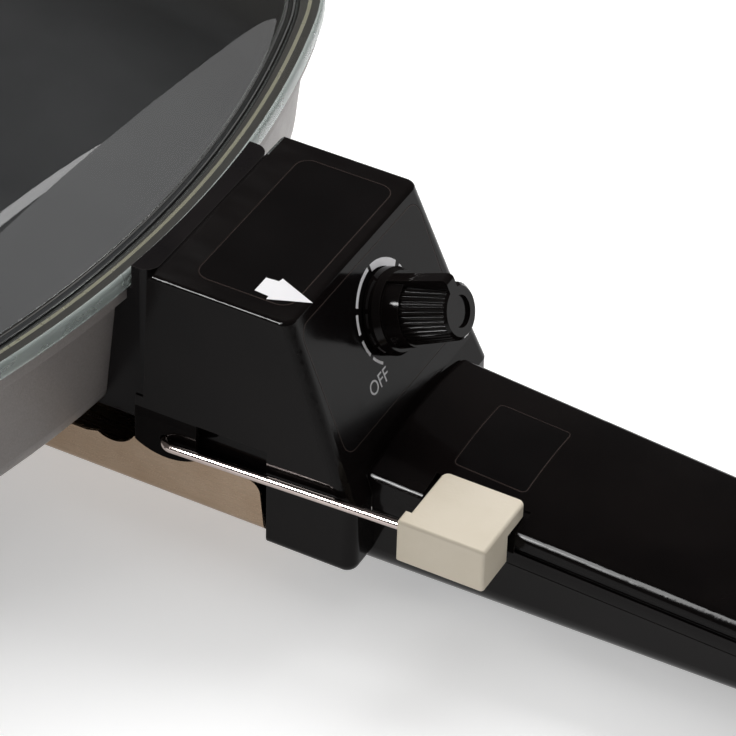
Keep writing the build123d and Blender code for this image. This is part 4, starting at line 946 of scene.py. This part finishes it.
@dataclass(frozen=True)
class Dash:
    """One curved dash of the dial's ring.

    Turn holds the angles where it begins and ends, in degrees clockwise from straight up. Inner and
    outer hold its radii there, in millimetres.
    """

    turn: Point
    inner: Point
    outer: Point
    stride: float = 3.0
    fewest: int = 3

    def outline(self) -> list[Point]:
        """Walk once round the dash.

        Returns:
            Points across and up the slope, from the dial's centre.
        """
        begin, end = self.turn
        steps = max(self.fewest, int(abs(end - begin) / self.stride))
        far: list[Point] = []
        near: list[Point] = []
        for step in range(steps + 1):
            share = step / steps
            angle = math.radians(begin + (end - begin) * share)
            for walk, ends in ((far, self.outer), (near, self.inner)):
                radius = ends[0] + (ends[1] - ends[0]) * share
                walk.append((radius * math.sin(angle), radius * math.cos(angle)))
        return far + near[::-1]


@dataclass
class SlopeMarks:
    """White marks printed on the sloped plate round the dial, in millimetres."""

    origin: Spot = (206.202, 4.0, 67.744)
    normal: Spot = (0.928477, 0.0, 0.371391)
    dashes: tuple[Dash, ...] = (
        Dash((-139.5, -119.5), (12.95, 12.95), (13.70, 13.75)),
        Dash((-113.5, -92.0), (12.90, 12.90), (13.75, 13.80)),
        Dash((-84.0, -61.5), (12.95, 13.00), (13.90, 13.95)),
        Dash((-54.5, -6.5), (13.00, 13.10), (14.00, 14.20)),
        Dash((-1.5, 49.5), (12.10, 11.05), (14.05, 13.45)),
        Dash((57.0, 76.0), (11.70, 12.20), (13.20, 12.80)),
    )
    off_start: Point = (-17.2, -14.95)
    off_end: Point = (-8.1, -14.85)

    def at(self, across: float, up: float, lift: float) -> Vector:
        """Return a point on the slope.

        Args:
            across: millimetres along +Y from the dial's centre.
            up: millimetres up the slope.
            lift: millimetres off the surface.

        Returns:
            The point in the frame.
        """
        out = Vector(self.normal)
        along = Vector((0, 1, 0))
        rise = out.cross(along)
        point = Vector(self.origin) + along * across + rise * up + out * lift
        return fit(point.x, point.y, point.z)

    def word(self, name: str, text: str, start: Point, end: Point) -> bpy.types.Object:
        """Print a word on the slope.

        Args:
            name: the piece's name.
            text: the word.
            start: where its baseline begins.
            end: where its baseline ends.

        Returns:
            The piece.
        """
        curve = bpy.data.curves.new(name, "FONT")
        curve.body = text
        curve.size = 1.0
        curve.fill_mode = "BOTH"
        curve.extrude = 0.01
        maker = bpy.data.objects.new(name + "_type", curve)
        bpy.context.scene.collection.objects.link(maker)
        bpy.context.view_layer.update()
        mesh = bpy.data.meshes.new_from_object(maker.evaluated_get(bpy.context.evaluated_depsgraph_get()))
        bpy.data.objects.remove(maker)
        low = min(corner.co.x for corner in mesh.vertices)
        wide = max(corner.co.x for corner in mesh.vertices) - low
        along = Vector((end[0] - start[0], end[1] - start[1]))
        scale = along.length / wide
        along.normalize()
        across = Vector((-along.y, along.x))
        for corner in mesh.vertices:
            x, y, z = (corner.co.x - low) * scale, corner.co.y * scale, corner.co.z
            flat = Vector(start) + along * x + across * y
            corner.co = self.at(flat.x, flat.y, INK_RISE if z > 0 else -INK_SINK)
        mesh.materials.clear()
        made = bpy.data.objects.new(name, mesh)
        bpy.context.scene.collection.objects.link(made)
        return made

    def dress(self, palette: Palette) -> None:
        """Build the marks and lay the ink.

        Args:
            palette: the finishes.
        """
        for number, dash in enumerate(self.dashes, start=1):
            outline = dash.outline()
            mark = slab(f"dial_ring_dash_{number}", [self.at(a, u, -INK_SINK) for a, u in outline],
                        [self.at(a, u, INK_RISE) for a, u in outline])
            settle(mark, Body.HANDLE, Slot.TRIM_PLATE, palette.get(WHITE_INK))
        off = self.word("dial_word_off", "OFF", self.off_start, self.off_end)
        settle(off, Body.HANDLE, Slot.TRIM_PLATE, palette.get(WHITE_INK))


@dataclass
class TopArrow:
    """White arrow printed on the housing's top, pointing along it to the lever side."""

    level: float = 86.5
    outline: tuple[Point, ...] = (
        (184.5, -25.9), (188.6, -26.2), (188.7, -27.5), (199.4, -23.1), (188.3, -18.4), (188.0, -19.8),
        (184.5, -20.1))

    def dress(self, palette: Palette) -> None:
        """Build the arrow and lay the ink.

        Args:
            palette: the finishes.
        """
        arrow = slab("top_arrow", [fit(x, y, self.level - INK_SINK) for x, y in self.outline],
                     [fit(x, y, self.level + INK_RISE) for x, y in self.outline])
        settle(arrow, Body.HANDLE, Slot.TRIM_PLATE, palette.get(WHITE_INK))


# ---------------------------------------------------------------------------
# Stage
# ---------------------------------------------------------------------------
@dataclass(frozen=True)
class Lamp:
    """One area light, in metres and watts.

    A lamp that names pieces is a card: it shows only as a highlight on them and lights nothing.
    Roll turns it about the line to its aim, in degrees.
    """

    name: str
    at: Spot
    aim: Spot
    size: Point
    watts: float
    pieces: tuple[str, ...] = ()
    oval: bool = False
    roll: float = 0.0

    def hang(self, known: Mapping[str, bpy.types.Object]) -> None:
        """Hang the lamp.

        Args:
            known: the pieces that a card may name.
        """
        light = bpy.data.lights.new(self.name, "AREA")
        light.shape = "ELLIPSE" if self.oval else "RECTANGLE"
        light.size, light.size_y = self.size
        light.energy = self.watts
        lamp = bpy.data.objects.new(self.name, light)
        lamp.location = self.at
        facing = (Vector(self.aim) - Vector(self.at)).to_track_quat("-Z", "Y")
        lamp.rotation_euler = (facing @ Quaternion((0.0, 0.0, 1.0), math.radians(self.roll))).to_euler()
        lamp.visible_glossy = bool(self.pieces)
        lamp.visible_diffuse = not self.pieces
        if self.pieces:
            group = bpy.data.collections.new(self.name + "_pieces")
            for name in self.pieces:
                group.objects.link(known[name])
            lamp.light_linking.receiver_collection = group
        lamp.visible_transmission = False
        bpy.context.scene.collection.objects.link(lamp)


SHELL = ("upper_shell", "lower_shell", "end_cap", "wire_lever")
UPPER = ("upper_shell",)
KNOB = ("control_knob",)
DOME = ("lid_glass_pressing",)

SOFTBOXES = (
    Lamp("key_softbox", (-0.1, 1.1, 1.4), (0.05, 0.1, 0.0), (1.8, 1.0), 27.0),
    Lamp("low_back_softbox", (0.3, 1.6, 0.9), (0.05, 0.1, 0.0), (1.8, 0.8), 12.0),
    Lamp("top_softbox", (0.0, 0.1, 1.9), (0.05, 0.0, 0.0), (1.6, 1.6), 9.0),
    Lamp("front_softbox", (-1.2, -1.2, 1.2), (0.0, 0.0, 0.0), (1.2, 1.2), 12.0),
)
CARDS = (
    Lamp("dome_card", (0.31, 1.06, 1.28), (0.31, 0.0, 1.28), (0.60, 1.45), 3.6, DOME),
    Lamp("dome_streak", (-0.038, 1.06, 1.75), (-0.038, 0.0, 1.75), (0.036, 1.16), 0.55, DOME,
         oval=True, roll=-5.7),
    Lamp("edge_card", (-0.53, -1.05, 1.15), (0.05, -0.03, 0.06), (0.9, 0.5), 55.0, SHELL, oval=True),
    Lamp("grip_card", (-0.18, -1.05, 1.15), (0.20, -0.03, 0.05), (0.40, 1.3), 32.0, UPPER, oval=True),
    Lamp("shoulder_card", (-0.61, 0.855, 0.62), (0.12, -0.03, 0.056), (0.26, 0.26), 10.0, UPPER, oval=True),
    Lamp("knob_card", (-0.713, -0.584, 0.607), (0.125, -0.004, 0.075), (0.26, 0.26), 11.0, KNOB, oval=True),
)


@dataclass
class Studio:
    """Pale floor, soft lights, and the camera."""

    floor_half: float = 6.0
    sky: Colour = (1.0, 0.985, 0.97)
    sky_strength: float = 0.12
    camera_at: Spot = (0.50366, -0.75736, 0.75810)
    azimuth: float = -62.217
    elevation: float = 39.679
    roll: float = 1.36
    lens: float = 212.37
    sensor: float = 36.0
    shift: Point = (0.0349, -0.0014)
    clip: Point = (0.05, 30.0)

    def floor(self) -> None:
        """Lay the floor."""
        half = self.floor_half
        square = ((-half, -half), (half, -half), (half, half), (-half, half))
        corners = [Vector((x, y, 0.0)) for x, y in square]
        ground = join_mesh("studio_floor", corners, [(0, 1, 2, 3)])
        ground.data.materials.append(Backdrop("studio_floor_paint").make())

    def lights(self) -> None:
        """Set the sky and hang the softboxes."""
        world = bpy.data.worlds.new("studio_sky")
        world.use_nodes = True
        sky = world.node_tree.nodes["Background"]
        sky.inputs["Color"].default_value = (*self.sky, 1.0)
        sky.inputs["Strength"].default_value = self.sky_strength
        bpy.context.scene.world = world
        for lamp in SOFTBOXES:
            lamp.hang({})

    def cards(self, lid: bpy.types.Object) -> None:
        """Hang the cards that put highlights on glossy pieces.

        Args:
            lid: the glass of the lid.
        """
        known = {**frame["nodes"], lid.name: lid}
        for lamp in CARDS:
            lamp.hang(known)

    def camera(self) -> None:
        """Set the camera."""
        azimuth, elevation, roll = (math.radians(a) for a in (self.azimuth, self.elevation, self.roll))
        back = Vector((math.cos(elevation) * math.cos(azimuth), math.cos(elevation) * math.sin(azimuth),
                       math.sin(elevation)))
        right = (-back).cross(Vector((0, 0, 1))).normalized()
        up = right.cross(-back)
        across = right * math.cos(roll) + up * math.sin(roll)
        upward = up * math.cos(roll) - right * math.sin(roll)
        turn = Matrix((across, upward, back)).transposed().to_4x4()
        data = bpy.data.cameras.new("view_camera")
        data.lens = self.lens
        data.sensor_width = self.sensor
        data.sensor_fit = "HORIZONTAL"
        data.shift_x, data.shift_y = self.shift
        data.clip_start, data.clip_end = self.clip
        eye = bpy.data.objects.new("view_camera", data)
        eye.matrix_world = Matrix.Translation(self.camera_at) @ turn
        bpy.context.scene.collection.objects.link(eye)
        bpy.context.scene.camera = eye

    def dress(self) -> None:
        """Set the whole stage."""
        self.floor()
        self.lights()
        self.camera()
        view = bpy.context.scene.view_settings
        view.view_transform = "Standard"
        view.look = "None"


def main() -> None:
    """Build every sub-assembly in order."""
    logging.basicConfig(level=logging.INFO, format="%(name)s: %(message)s")
    palette = Palette()
    studio = Studio()
    studio.dress()
    palette.dress_frame()
    studio.cards(LidGlass().dress(palette))
    SlopeMarks().dress(palette)
    TopArrow().dress(palette)


if __name__ == "__main__":
    main()
